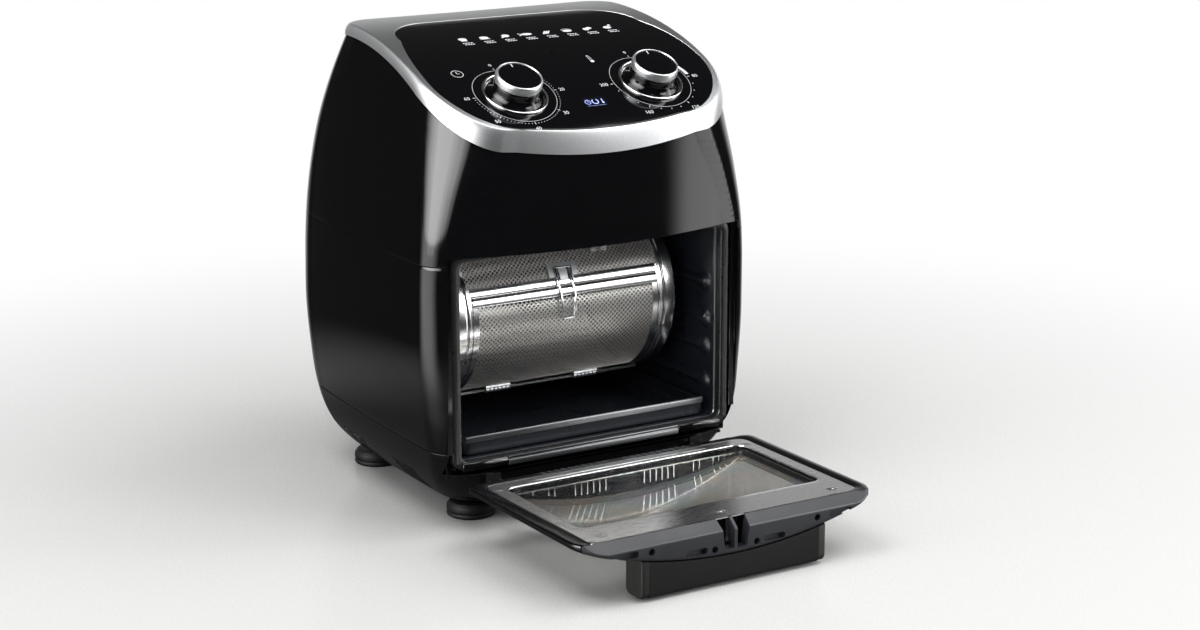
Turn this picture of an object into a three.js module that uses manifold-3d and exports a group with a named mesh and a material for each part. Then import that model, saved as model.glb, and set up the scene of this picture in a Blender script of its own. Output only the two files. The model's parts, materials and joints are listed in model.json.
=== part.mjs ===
// Countertop air fryer oven with a drop-down glass door and a turning mesh drum.
// Millimetres, +Z up, +X to the right, +Y to the back. The door is modelled open, as it stands in use.
import * as THREE from 'three';
import { mergeVertices } from 'three/addons/utils/BufferGeometryUtils.js';
import Module from 'manifold-3d';

const wasm = await Module();
wasm.setup();

// Running gap between pieces that touch, and the overrun of every cut
const gap = 0.3;
const overrun = 20;

// Casing in plan, measured from the middle plane and the plane of the oven mouth
const bodyHalfWidth = 166;
const bodyBack = 308;
const bodyFront = 23;
const bowRadius = 455;
const frontCornerRadius = 28;
const rearCornerRadius = 50;
const sideBowRadius = 2400;
const casingWall = 2.6;
const baseBottom = 14;
const floorThickness = 3;

// Handle under the door's free edge, and the hinge axis that keeps it off the table
const handleReach = 39.8;
const handleDepth = 25;
const handleDrop = 0.7;
const handleHalfWidth = 92;
const handleWall = 4;
const handleRound = 7;
const handleEndWidth = 7;
const handleRoom = 3;
const hingeBack = -10.8;
const hingeHeight = handleReach + handleRoom;

// Heights from the hinge up: mouth, tray, drum, guard, element, fan, cavity and crown
const mouthRise = 24.2;
const mouthBottom = hingeHeight + mouthRise;
const trayHeight = 14;
const drumTrayRoom = 16;
const drumRadius = 75;
const drumHeight = mouthBottom + trayHeight + drumTrayRoom + drumRadius;
const mouthTop = drumHeight + drumRadius;
const drumTurnRoom = 10;
const guardHeight = mouthTop + drumTurnRoom;
const elementStand = 11;
const elementHeight = guardHeight + elementStand;
const fanStand = 8;
const fanBottom = elementHeight + fanStand;
const fanDepth = 14;
const fanTop = fanBottom + fanDepth;
const fanRoom = 2;
const cavityTop = fanTop + fanRoom;
const controlRoom = 135;
const crownHeight = cavityTop + controlRoom;

// Seams of the casing and the hood's lip, set from the mouth
const lowerSeamRise = 9.5;
const lowerSeam = mouthBottom + lowerSeamRise;
const upperSeamDrop = 3.5;
const upperSeam = mouthTop - upperSeamDrop;
const hoodLipRise = 4;
const hoodLipHeight = mouthTop + hoodLipRise;

// Rows of the casing's profile: storey, height in it, half width, back, front, rear and front corner radius
const storeys = [[0, lowerSeam], [lowerSeam, upperSeam], [upperSeam, crownHeight]];
const casingProfileShares = [
  [0, 0.184, 0.675, 0.851, -1.3, 1, 1],
  [0, 0.3265, 0.783, 0.896, -0.6, 1, 1],
  [0, 0.586, 0.886, 0.948, 0.22, 1, 1],
  [0, 0.9935, 0.949, 0.984, 0.83, 1, 1],
  [1, 0.26, 0.982, 0.997, 0.96, 1, 1],
  [1, 0.56, 1, 1, 1, 1, 1],
  [2, 0.0087, 0.994, 0.984, 1, 1, 1.06],
  [2, 0.3065, 0.961, 0.942, 1.02, 0.84, 1.66],
  [2, 0.581, 0.916, 0.87, 1.04, 0.64, 2.4],
  [2, 0.9185, 0.858, 0.721, 1.04, 0.36, 3],
  [2, 1.093, 0.825, 0.62, 1.04, 0.3, 3.2],
];

// Curved top, rim and control panel
const topRadius = 410;
const panelTilt = THREE.MathUtils.degToRad(27);
const dialBack = 23.3;
const rimTighter = 65;
const rimShift = 9.6;
const rimDrop = 11.1;
const rimProud = 1.2;
const rimRoundWidth = 10;
const rimWall = 3;
const rimCrossingShares = [0.04, 0.12, 0.25, 0.45, 0.7];
const rimReachShare = 0.9;
const panelSideInset = 1.2;
const panelFrontInset = 0.5;
const panelBackInset = 33.2;
const panelFrontCorner = 66;
const panelBackCorner = 47;
const panelSideBowRadius = 200;
const panelThickness = 2.5;
const panelLedge = 5;
const ledgeThickness = 2;

// Dials and knobs, in each dial's own frame, with its height along the panel's normal
const dialSideInset = 69.7;
const dialRingRadius = 29.4;
const dialRingInner = 27.2;
const dialRingProud = 1.6;
const dialRingDepth = 4.5;
const dialRingFloor = 1.2;
const dialRingFloorInner = 22;
const knobSkirtRadius = 26.2;
const knobNeckRadius = 18.8;
const knobHeight = 19.4;
const knobTrimRadius = 21;
const knobTrimBottom = 11.9;
const knobTrimRound = 0.9;
const knobFloorGap = 0.6;
const knobShaftRadius = 3;
const knobShaftDepth = 20;
const dialUnitSize = 46;
const dialUnitDepth = 28;
const dialUnitBore = 17;
const windowWidth = 22;
const windowHeight = 12;
const windowDepth = 3;
const windowArc = -21;

// Door, in its own frame, shut, with its hinge axis at the origin
const doorOpenAngle = THREE.MathUtils.degToRad(90);
const doorSideInset = 18;
const doorHalfWidth = bodyHalfWidth - doorSideInset;
const doorSideGap = 1.2;
const doorRearGap = 1.2;
const doorBottomLap = 10.8;
const doorBottom = mouthRise - doorBottomLap;
const doorTopLap = 2.5;
const doorTop = mouthTop + doorTopLap - hingeHeight;
const doorRear = 13.9;
const doorEdge = 4.957;
const doorBow = bowRadius - Math.sqrt(bowRadius ** 2 - doorHalfWidth ** 2);
const doorFront = doorBow + doorEdge - doorRear;
const doorTopCorner = 24;
const doorBottomCorner = 8;
const doorWall = 2.4;
const doorSideWall = 5;
const railDepth = 9.7;
const railBottom = doorTop - railDepth;
const railChamfer = 7;
const plateThickness = 1.2;
const plateInset = 2.6;
const plateWindowSideInset = 26;
const plateWindowHalfWidth = doorHalfWidth - plateWindowSideInset;
const plateWindowRise = 22.6;
const plateWindowBottom = doorBottom + plateWindowRise;
const plateWindowDrop = 48.2;
const plateWindowTop = doorTop - plateWindowDrop;
const plateWindowCorner = 9;
const glassThickness = 3.2;
const glassLap = 5;
const frontWindowLap = 3;
// Slots of the hinge end, placed between the hinges
const doorSlotShares = [-0.868, -0.6226, -0.283, 0.283, 0.6226, 0.868];
const doorSlotLengthShares = [0.132, 0.085, 0.245, 0.245, 0.085, 0.132];
const doorSlotDrop = 4;
const doorSlotHeight = 4;
const railSlotShares = { outerSlot: 0.725, innerSlot: 0.2635, outerHole: 0.5608, innerHole: 0.1486 };
const railSlotLength = 24;
const railSlotWidth = 6;
const railSlotOuterDepth = 1.2;
const railSlotFrontWall = 6.8;
const railSlotInnerDepth = railSlotFrontWall - doorFront;
const railSlotCut = 5;
const railHoleRadius = 3;
const notchHalfWidth = 16.5;
const notchRib = 2.4;
const notchWall = 4.8;
const notchFront = doorFront - notchWall;
const handleTop = doorTop - handleDrop;
const handleBottom = handleTop - handleDepth;

// Oven mouth, flange and seal
const mouthSideLap = 13.4;
const mouthHalfWidth = doorHalfWidth - mouthSideLap;
const mouthCorner = 6;
const flangeSideInset = 4.3;
const flangeHalfWidth = doorHalfWidth - flangeSideInset;
const flangeFront = 5.6;
const flangeBack = 14;
const flangeLap = 8;
const flangeBottom = mouthBottom - flangeLap;
const sealFront = 3.4;
const sealInnerInset = 2;
const sealWidth = 5;
const sealTopRise = 1;
const sillFront = 3.5;
const sillBack = 8.5;
const sillDepth = 9;
const sillBottom = mouthBottom - sillDepth;
const sillDrop = 0.4;
const coverLength = 45.6;
const coverInner = mouthHalfWidth - coverLength;
const coverRound = 3.5;

// Hinges on the wall behind the door
const hingeInset = 42;
const hingeAt = doorHalfWidth - hingeInset;
const armWidth = 8;
const knuckleOuter = 6;
const armReach = 26;
const armHalfDepth = 3;
const pinRadius = 2.4;
const pinEnd = 0.6;
const earThickness = 2.5;
const earPlateThickness = 1.25;
const wallFront = 2;
const wallThickness = 2.6;
const wallDrop = 11.5;
const wallTop = mouthBottom - wallDrop;
const earPlateDrop = 1.2;
const hingeSeatDepth = 14;
const bracketDrop = 12.8;
const bracketBottom = hingeHeight - bracketDrop;

// Cavity and the rack rails on its walls, set from the drum's axis
const cavityBackRoom = 40;
const cavityBack = bodyBack - cavityBackRoom;
const linerWall = 1.2;
const railAbove = 18;
const railBelow = 17;
const railLow = 43;
const railLowest = 76;
const railHalfHeight = 2.5;
const railReach = 3.6;
const railFront = 24;
const railBackInset = 18;

// Heater, guard and fan under the cavity's top
const fanForward = 11;
const fanBack = (flangeBack + cavityBack) / 2 - fanForward;
const fanRadius = 58;
const fanDisc = 1.2;
const fanBladeThickness = 1.5;
const fanBladeCount = 8;
const fanHubRadius = 10;
const fanShaftRadius = 3;
const fanShaftRise = 14;
const fanShaftTop = cavityTop + fanShaftRise;
const fanShaftHole = 5;
const fanMotorRadius = 32;
const fanMotorHeight = 36;
const elementRadius = 78;
const elementTube = 3.2;
const elementLegSpacing = 24;
const elementLegRise = 10;
const elementLegTop = cavityTop + elementLegRise;
const elementLegBack = fanBack + Math.sqrt(elementRadius ** 2 - (elementLegSpacing / 2) ** 2);
const guardSideRoom = 22.6;
const guardHalfWidth = mouthHalfWidth - guardSideRoom;
const guardFrontRoom = 24;
const guardFront = flangeBack + guardFrontRoom;
const guardBackRoom = 42;
const guardBack = cavityBack - guardBackRoom;
const guardThickness = 1.2;
const guardSlots = 9;
const guardSlotWidth = 12;
const guardBorder = 14;

// Lamp in the right wall
const lampBackRoom = 40;
const lampBack = cavityBack - lampBackRoom;
const lampRise = 54;
const lampHeight = drumHeight + lampRise;
const lampRadius = 16;
const lampFlange = 2.5;
const lampFlangeThickness = 1.6;
const lampDome = 8;
const lampSocketDepth = 12;

// Drum and its drive
const drumFrontRoom = 51;
const drumBack = drumFrontRoom + drumRadius;
const drumWall = 1;
const drumEndRoom = 19.6;
const drumHalfLength = mouthHalfWidth - drumEndRoom;
const capDepth = 12;
const capWall = 1;
const capLip = 4;
const hatchLow = THREE.MathUtils.degToRad(-70);
const hatchHigh = THREE.MathUtils.degToRad(20);
const hatchInset = 6;
const hatchGap = 0.8;
const bandHigh = THREE.MathUtils.degToRad(22.5);
const bandWidth = 10.5;
const bandThickness = 0.9;
const rodRadius = 1.3;
const rodStand = 3;
const knuckleRadius = 2.6;
const knuckleInner = 34;
const knuckleLength = 25;
const leafWidth = 3.2;
const drumHolesAround = 6;
const drumHolesAlong = 4;
const drumHoleShare = 0.66;
const drumBorder = 4.5;
const hatchLowBorder = 9;
const hatchHighBorder = 12;
const drumSteps = 28;
const latchWidth = 30;
const latchDepth = 15;
const latchThickness = 0.9;
const latchAngle = THREE.MathUtils.degToRad(31);
const bailAngle = THREE.MathUtils.degToRad(33);
const bailWire = 1.1;
const bailSteps = 6;
const bailHalfWidth = 8;
const bailLength = 47;
const spindleHalf = 4;
const spindleReach = 11;
const idlerRadius = 4;
const idlerReach = 14;
const socketRadius = 9;
const socketLength = 12;
const socketDepth = 8;
const driveShaftRadius = 4;
const driveShaftReach = 15;
const driveHole = 4.8;
const drumMotorRadius = 28;
const drumMotorDepth = 21;
const bracketHalfWidth = 10;
const bracketBelow = 12;
const bracketAbove = 10;
const bracketReach = 11;

// Drip tray
const traySideRoom = 6.6;
const trayHalfWidth = mouthHalfWidth - traySideRoom;
const trayFront = 17;
const trayBackRoom = 6;
const trayBack = cavityBack - trayBackRoom;
const trayLipRise = 4;
const trayWall = 1.2;

// Catch for the door, in the flange
const catchDrop = 4;
const catchHeight = mouthTop - catchDrop;
const catchHalfWidth = 8;
const catchHalfHeight = 2;
const catchReach = 7;
const catchTail = 3.5;
const catchSide = 8;

// Feet, set in from the base's lowest ring
const footRadius = 22;
const footSideInset = 14.05;
const footFrontAt = 58;
const footBackInset = 22.1;
const footTaper = 3;

// Base vents, rear vents and the mains inlet
const baseVentCount = 3;
const baseVentPitch = 13;
const baseVentWidth = 4;
const baseVentRise = 10;
const baseVentHeight = 22;
const baseVentLean = THREE.MathUtils.degToRad(35);
const baseVentFrontAt = 70;
const baseVentBackInset = 118;
const rearSeamInset = 36;
const rearVentRows = 9;
const rearVentPitch = 9;
const rearVentWidth = 4;
const rearVentHalfLength = 70;
const rearVentDrop = 20;
const rearVentPost = 6;
const inletRise = 27.5;
const inletHeight = lowerSeam + inletRise;
const inletSideInset = 66;
const inletAt = bodyHalfWidth - inletSideInset;
const inletRadius = 9;
const inletNeck = 6.5;
const inletBore = 3.6;
const inletFlange = 3;

// Counts of facets
const bowSteps = 4;
const cornerSteps = 3;
const sideSteps = 4;
const backSteps = 1;
const roundSteps = 20;
const cylinderSteps = 100;
const dialSteps = 24;
const bellSteps = 3;
const rimPasses = 12;

const materials = {
  glossBlack: { color: 0x0b0b0d, roughness: 0.12, metalness: 0 },
  satinBlack: { color: 0x1b1c1f, roughness: 0.5, metalness: 0 },
  darkGrey: { color: 0x3a3b3e, roughness: 0.45, metalness: 0.1 },
  silver: { color: 0xc4c6c8, roughness: 0.32, metalness: 0.7 },
  chrome: { color: 0xe6e6e8, roughness: 0.08, metalness: 1 },
  steel: { color: 0xb9bbbd, roughness: 0.3, metalness: 1 },
  coated: { color: 0x17181a, roughness: 0.45, metalness: 0.3 },
  rubber: { color: 0x141414, roughness: 0.85, metalness: 0 },
  glass: { color: 0x33383a, roughness: 0.03, metalness: 0, transparent: true, opacity: 0.35 },
  lens: { color: 0xf2ead8, roughness: 0.1, metalness: 0, transparent: true, opacity: 0.6 },
};

// Solids and meshes
const point = (x, y, z) => new THREE.Vector3(x, y, z);

function solidFrom(positions, indices) {
  const triVerts = [];
  for (let k = 0; k < indices.length; k += 3) {
    const [a, b, c] = [indices[k], indices[k + 1], indices[k + 2]];
    if (a !== b && b !== c && c !== a) triVerts.push(a, b, c);
  }
  return new wasm.Manifold(new wasm.Mesh({
    numProp: 3,
    vertProperties: new Float32Array(positions),
    triVerts: new Uint32Array(triVerts),
  }));
}

function solidOf(geometry) {
  const bare = geometry.clone();
  bare.deleteAttribute('normal');
  bare.deleteAttribute('uv');
  const merged = mergeVertices(bare);
  return solidFrom(merged.attributes.position.array, merged.index.array);
}

function geometryOf(solid) {
  const mesh = solid.getMesh();
  const indexed = new THREE.BufferGeometry();
  indexed.setAttribute('position', new THREE.BufferAttribute(mesh.vertProperties, 3));
  indexed.setIndex(new THREE.BufferAttribute(mesh.triVerts, 1));
  return indexed;
}

const join = (first, ...rest) => rest.reduce((whole, piece) => whole.add(piece), first);
const cut = (first, ...rest) => rest.reduce((whole, piece) => whole.subtract(piece), first);
const common = (first, ...rest) => rest.reduce((whole, piece) => whole.intersect(piece), first);

const assembly = new THREE.Group();

function addPiece(name, solid, material, parent = assembly) {
  const geometry = geometryOf(solid).toNonIndexed();
  geometry.computeVertexNormals();
  const mesh = new THREE.Mesh(mergeVertices(geometry), new THREE.MeshStandardMaterial(materials[material]));
  mesh.name = name;
  parent.add(mesh);
}

// Plain shapes
function block(x0, x1, y0, y1, z0, z1) {
  const box = new THREE.BoxGeometry(x1 - x0, y1 - y0, z1 - z0);
  return solidOf(box.translate((x0 + x1) / 2, (y0 + y1) / 2, (z0 + z1) / 2));
}

function alongAxis(geometry, axis) {
  if (axis === 'x') geometry.rotateZ(-Math.PI / 2);
  if (axis === 'z') geometry.rotateX(Math.PI / 2);
  return geometry;
}

// A cylinder along an axis from low to high, centred on the two other coordinates
function rod(axis, radius, low, high, a, b, steps = roundSteps) {
  const geometry = new THREE.CylinderGeometry(radius, radius, high - low, steps);
  alongAxis(geometry, axis);
  const middle = (low + high) / 2;
  if (axis === 'x') geometry.translate(middle, a, b);
  if (axis === 'y') geometry.translate(a, middle, b);
  if (axis === 'z') geometry.translate(a, b, middle);
  return solidOf(geometry);
}

// An outline extruded from low to high: x takes (y, z) outlines, y takes (x, z) and z takes (x, y)
function prismGeometry(shape, axis, low, high, curveSegments = 6) {
  const depth = high - low;
  const geometry = new THREE.ExtrudeGeometry(shape, { depth, bevelEnabled: false, curveSegments });
  const [across, back, up] = [point(1, 0, 0), point(0, 1, 0), point(0, 0, 1)];
  const turned = new THREE.Matrix4();
  if (axis === 'x') turned.makeBasis(back, up, across).setPosition(low, 0, 0);
  if (axis === 'y') turned.makeBasis(across, up, back.negate()).setPosition(0, high, 0);
  if (axis === 'z') turned.setPosition(0, 0, low);
  return geometry.applyMatrix4(turned);
}

const prism = (...args) => solidOf(prismGeometry(...args));

function roundedRectangle(x0, x1, y0, y1, lowRadius, highRadius = lowRadius) {
  const outline = new THREE.Shape();
  outline.absarc(x1 - lowRadius, y0 + lowRadius, lowRadius, -Math.PI / 2, 0);
  outline.absarc(x1 - highRadius, y1 - highRadius, highRadius, 0, Math.PI / 2);
  outline.absarc(x0 + highRadius, y1 - highRadius, highRadius, Math.PI / 2, Math.PI);
  outline.absarc(x0 + lowRadius, y0 + lowRadius, lowRadius, Math.PI, Math.PI * 1.5);
  return outline;
}

function polygon(points) {
  return new THREE.Shape(points.map(([a, b]) => new THREE.Vector2(a, b)));
}

// A profile of (radius, height) points turned about +Z, placed by a matrix
function turned(profile, place = new THREE.Matrix4(), steps = roundSteps) {
  const outline = profile.map(([radius, height]) => new THREE.Vector2(radius, height));
  const geometry = new THREE.LatheGeometry(outline, steps);
  geometry.rotateX(Math.PI / 2);
  return solidOf(geometry.applyMatrix4(place));
}

// Rings of equal point counts joined into one skin, capped at both ends or running round to the first
function skin(rings, closed = false) {
  const count = rings[0].length;
  const positions = rings.flat().flatMap((p) => [p.x, p.y, p.z]);
  const indices = [];
  const levels = closed ? rings.length : rings.length - 1;
  for (let level = 0; level < levels; level++) {
    for (let k = 0; k < count; k++) {
      const next = (k + 1) % count;
      const upper = ((level + 1) % rings.length) * count;
      const lower = level * count;
      indices.push(lower + k, lower + next, upper + next, lower + k, upper + next, upper + k);
    }
  }
  if (!closed) {
    const last = (rings.length - 1) * count;
    const planOf = (ring) => ring.map((p) => new THREE.Vector2(p.x, p.y));
    const capOf = (ring) => THREE.ShapeUtils.triangulateShape(planOf(ring), []);
    for (const [a, b, c] of capOf(rings[0])) indices.push(a, c, b);
    for (const [a, b, c] of capOf(rings.at(-1))) indices.push(last + a, last + b, last + c);
  }
  return solidFrom(positions, indices);
}

// Casing outline at a height: a bowed front, round corners, slightly bowed sides and a straight back
const skinHeights = casingProfileShares.map(([storey, share]) => {
  const [low, high] = storeys[storey];
  return THREE.MathUtils.lerp(low, high, share);
});
const skinTop = skinHeights.at(-1);

function profileAt(height, column) {
  const values = casingProfileShares.map((row) => row[column]);
  const z = THREE.MathUtils.clamp(height, skinHeights[0], skinTop);
  const last = values.length - 1;
  let k = 0;
  while (k < last - 1 && z > skinHeights[k + 1]) k += 1;
  const slope = (i) => {
    const [low, high] = [Math.max(i - 1, 0), Math.min(i + 1, last)];
    return (values[high] - values[low]) / (skinHeights[high] - skinHeights[low]);
  };
  const span = skinHeights[k + 1] - skinHeights[k];
  const t = (z - skinHeights[k]) / span;
  const rise = values[k + 1] - values[k];
  const [m0, m1] = [slope(k) * span, slope(k + 1) * span];
  return values[k] + t * m0 + t * t * (3 * rise - 2 * m0 - m1) + t * t * t * (m0 + m1 - 2 * rise);
}

const halfWidthAt = (height) => bodyHalfWidth * profileAt(height, 2);
const backAt = (height) => bodyBack * profileAt(height, 3);
const frontAt = (height) => -bodyFront * profileAt(height, 4);
const rearRadiusAt = (height) => rearCornerRadius * profileAt(height, 5);
const frontRadiusAt = (height) => frontCornerRadius * profileAt(height, 6);

// Half an outline, from the middle of the front round the right side, is mirrored into a whole ring
function ringFrom(half, height) {
  const left = half.slice(1, -1).reverse().map(([x, y]) => [-x, y]);
  return [...half, ...left].map(([x, y]) => point(x, y, height));
}

function steps(count, visit) {
  return Array.from({ length: count + 1 }, (unused, k) => visit(k / count));
}

function halfOutline(halfWidth, front, back, bow, frontCorner, rearCorner, sideBow) {
  const edge = halfWidth - frontCorner;
  const cornerY = front + (edge * edge) / (2 * bow) + frontCorner;
  const taper = (y) => ((y - cornerY) * (y - cornerY)) / (2 * sideBow);
  const rearY = back - rearCorner;
  const rearX = halfWidth - taper(rearY) - rearCorner;
  const start = Math.atan(edge / bow);
  return [
    ...steps(bowSteps, (t) => [t * edge, front + (t * edge) ** 2 / (2 * bow)]),
    ...steps(cornerSteps, (t) => {
      const angle = THREE.MathUtils.lerp(start, Math.PI / 2, t);
      return [edge + frontCorner * Math.sin(angle), cornerY - frontCorner * Math.cos(angle)];
    }).slice(1),
    ...steps(sideSteps, (t) => {
      const y = THREE.MathUtils.lerp(cornerY, rearY, t);
      return [halfWidth - taper(y), y];
    }).slice(1),
    ...steps(cornerSteps, (t) => {
      const angle = (t * Math.PI) / 2;
      return [rearX + rearCorner * Math.cos(angle), rearY + rearCorner * Math.sin(angle)];
    }).slice(1),
    ...steps(backSteps, (t) => [rearX * (1 - t), back]).slice(1),
  ];
}

function casingRing(height, inset = 0, level = height) {
  return ringFrom(halfOutline(
    halfWidthAt(height) - inset,
    frontAt(height) + inset,
    backAt(height) - inset,
    bowRadius - inset,
    frontRadiusAt(height) - inset,
    rearRadiusAt(height) - inset,
    sideBowRadius,
  ), level);
}

const heightsBetween = (low, high) => skinHeights.filter((z) => z > low && z < high);

function casingBlock(low, high, inset = 0) {
  return skin([low, ...heightsBetween(low, high), high].map((z) => casingRing(z, inset)));
}

function casingShell(low, high) {
  const outer = casingBlock(low, high);
  const inner = skin([
    casingRing(low, casingWall, low - overrun),
    ...[low, ...heightsBetween(low, high), high].map((z) => casingRing(z, casingWall)),
    casingRing(high, casingWall, high + overrun),
  ]);
  return cut(outer, inner);
}

// Curved top: one cylinder carries the panel and a flatter one below it carries the rim's lower edge
const topAxisBack = dialBack + topRadius * Math.sin(panelTilt);
const topAxisHeight = crownHeight - topRadius;
const rimRadius = topRadius - rimTighter;
const rimAxisBack = topAxisBack - rimShift;
const rimAxisHeight = crownHeight - rimDrop - rimRadius;
const topAt = (y, drop = 0) => topAxisHeight + Math.sqrt((topRadius - drop) ** 2 - (y - topAxisBack) ** 2);
const rimAt = (y) => rimAxisHeight + Math.sqrt(rimRadius ** 2 - (y - rimAxisBack) ** 2);
const wide = bodyHalfWidth + overrun;
const topBody = (drop) => rod('x', topRadius - drop, -wide, wide, topAxisBack, topAxisHeight, cylinderSteps);
const rimBody = (rise) => rod('x', rimRadius + rise, -wide, wide, rimAxisBack, rimAxisHeight, cylinderSteps);

// The rear cover's seam follows the back at a fixed inset
function rearRegion(shift) {
  const low = baseBottom - overrun;
  const seam = [low, ...skinHeights].map((z) => [backAt(z) - rearSeamInset + shift, z]);
  const far = bodyBack + overrun;
  return prism(polygon([[far, low], [far, skinTop], ...seam.reverse()]), 'x', -wide, wide);
}

// Stepped jamb beside the mouth: round the flange, then out to the room that the shut door takes
const flangeRoom = flangeHalfWidth + gap;
const doorRoom = doorHalfWidth + doorSideGap;
const jambFront = hingeBack + doorRear + doorRearGap;

function mouthRoom(top) {
  return join(
    block(-flangeRoom, flangeRoom, -wide, flangeBack, 0, top),
    block(-doorRoom, doorRoom, -wide, jambFront, 0, top),
  );
}

function jamb(side, low, high) {
  const corners = [
    [flangeRoom, flangeBack],
    [flangeRoom, jambFront],
    [doorRoom, jambFront],
    [doorRoom, -bodyFront],
    [doorRoom + casingWall, -bodyFront],
    [doorRoom + casingWall, jambFront + casingWall],
    [flangeRoom + casingWall, jambFront + casingWall],
    [flangeRoom + casingWall, flangeBack],
  ].map(([x, y]) => [side * x, y]);
  return common(prism(polygon(corners), 'z', low, high), casingBlock(low - gap, high + gap));
}

function addCasing() {
  const mouth = mouthRoom(hoodLipHeight);
  const sides = casingShell(lowerSeam + gap, upperSeam);
  for (const [name, side] of [['left_side_shell', -1], ['right_side_shell', 1]]) {
    const [x0, x1] = side > 0 ? [0, wide] : [-wide, 0];
    const half = block(x0, x1, -wide, bodyBack + overrun, 0, crownHeight);
    const wall = cut(common(sides, half), mouth, rearRegion(0));
    addPiece(name, join(wall, jamb(side, lowerSeam + gap, upperSeam)), 'glossBlack');
  }
  const hoodWhole = casingBlock(upperSeam + gap, skinTop);
  const lip = common(
    block(-wide, wide, -wide, flangeBack - gap, hoodLipHeight, hoodLipHeight + casingWall),
    hoodWhole,
  );
  const hood = join(
    cut(common(casingShell(upperSeam + gap, skinTop), rimBody(0)), mouth, rearRegion(0)),
    lip,
    jamb(-1, upperSeam + gap, hoodLipHeight + gap),
    jamb(1, upperSeam + gap, hoodLipHeight + gap),
  );
  addPiece('hood_shell', hood, 'glossBlack');
}

function addRearCover() {
  const shell = common(casingShell(lowerSeam + gap, skinTop), rimBody(0), rearRegion(gap));
  const vents = [];
  for (let row = 0; row < rearVentRows; row++) {
    const z = cavityTop - rearVentDrop + row * rearVentPitch;
    for (const side of [-1, 1]) {
      const [x0, x1] = [side * rearVentPost / 2, side * rearVentHalfLength].sort((a, b) => a - b);
      vents.push(block(x0, x1, cavityBack - overrun, bodyBack + overrun, z, z + rearVentWidth));
    }
  }
  const hole = rod('y', inletNeck + gap, cavityBack, bodyBack + overrun, inletAt, inletHeight);
  addPiece('rear_cover', cut(shell, ...vents, hole), 'satinBlack');
  const seat = backAt(inletHeight);
  const place = new THREE.Matrix4().makeRotationX(-Math.PI / 2).setPosition(inletAt, seat, inletHeight);
  const inside = -casingWall - gap * 2;
  addPiece('mains_inlet', turned([
    [inletBore, inside - inletFlange],
    [inletNeck, inside - inletFlange],
    [inletNeck, gap],
    [inletRadius, gap],
    [inletRadius, inletFlange],
    [inletBore, inletFlange],
    [inletBore, inside - inletFlange],
  ], place, roundSteps / 2), 'rubber');
}

function addBase() {
  const outer = casingBlock(baseBottom, lowerSeam);
  const inner = skin([
    casingRing(baseBottom + floorThickness, casingWall),
    ...heightsBetween(baseBottom + floorThickness, lowerSeam).map((z) => casingRing(z, casingWall)),
    casingRing(lowerSeam, casingWall),
    casingRing(lowerSeam, casingWall, lowerSeam + overrun),
  ]);
  const front = block(-doorRoom, doorRoom, -wide, wallFront, 0, lowerSeam + overrun);
  const shutDoor = block(-doorRoom, doorRoom, -wide, jambFront, wallTop, lowerSeam + overrun);
  const mouth = block(-flangeRoom, flangeRoom, -wide, flangeBack + gap, wallTop, lowerSeam + overrun);
  const wallHalf = doorRoom + casingWall;
  const wall = common(
    block(-wallHalf, wallHalf, wallFront, wallFront + wallThickness, baseBottom, wallTop),
    casingBlock(baseBottom, lowerSeam),
  );
  const seats = [-1, 1].map((side) => {
    const half = armWidth / 2 + gap + earThickness;
    const middle = side * hingeAt;
    const [seatBack, seatTop] = [wallFront + hingeSeatDepth, wallTop - earPlateDrop];
    return block(middle - half, middle + half, wallFront, seatBack, bracketBottom, seatTop);
  });
  const jambs = join(jamb(-1, wallTop - gap, lowerSeam), jamb(1, wallTop - gap, lowerSeam));
  const vents = [];
  const ventMiddle = baseBottom + baseVentRise + baseVentHeight / 2;
  for (const at of [baseVentFrontAt, bodyBack - baseVentBackInset]) {
    for (let k = 0; k < baseVentCount; k++) {
      const slot = new THREE.BoxGeometry(wide * 2, baseVentWidth, baseVentHeight / Math.cos(baseVentLean));
      slot.rotateX(baseVentLean);
      slot.translate(0, at + k * baseVentPitch, ventMiddle);
      vents.push(solidOf(slot));
    }
  }
  const shell = cut(join(cut(outer, inner, front), wall, ...seats), mouth, shutDoor);
  addPiece('base_shell', cut(join(shell, jambs), ...vents), 'satinBlack');
}

function addFeet() {
  const sideAt = halfWidthAt(baseBottom) - footSideInset;
  const backFoot = backAt(baseBottom) - footBackInset;
  for (const [name, x, y] of [
    ['front_left_foot', -sideAt, footFrontAt],
    ['front_right_foot', sideAt, footFrontAt],
    ['rear_left_foot', -sideAt, backFoot],
    ['rear_right_foot', sideAt, backFoot],
  ]) {
    const place = new THREE.Matrix4().makeTranslation(x, y, 0);
    addPiece(name, turned([
      [0, 0],
      [footRadius - footTaper, 0],
      [footRadius, footTaper],
      [footRadius, baseBottom - gap],
      [0, baseBottom - gap],
    ], place), 'rubber');
  }
}

// Panel outline in plan, with its own corners and the casing's bow at the front
function panelHalf(inset) {
  return halfOutline(
    halfWidthAt(crownHeight) - panelSideInset - inset,
    frontAt(crownHeight) + panelFrontInset + inset,
    backAt(crownHeight) - panelBackInset - inset,
    bowRadius,
    panelFrontCorner - inset,
    panelBackCorner - inset,
    panelSideBowRadius,
  );
}

function rimEdge(inset) {
  const start = casingRing(crownHeight, inset).map((p) => p.y);
  return start.map((unused, k) => {
    let z = rimAt(start[k]);
    let p = point(0, 0, 0);
    for (let pass = 0; pass < rimPasses; pass++) {
      p = casingRing(z, inset)[k];
      z = rimAt(Math.max(p.y, rimAxisBack - rimRadius * rimReachShare));
    }
    return point(p.x, p.y, z - rimWall);
  });
}

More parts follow.
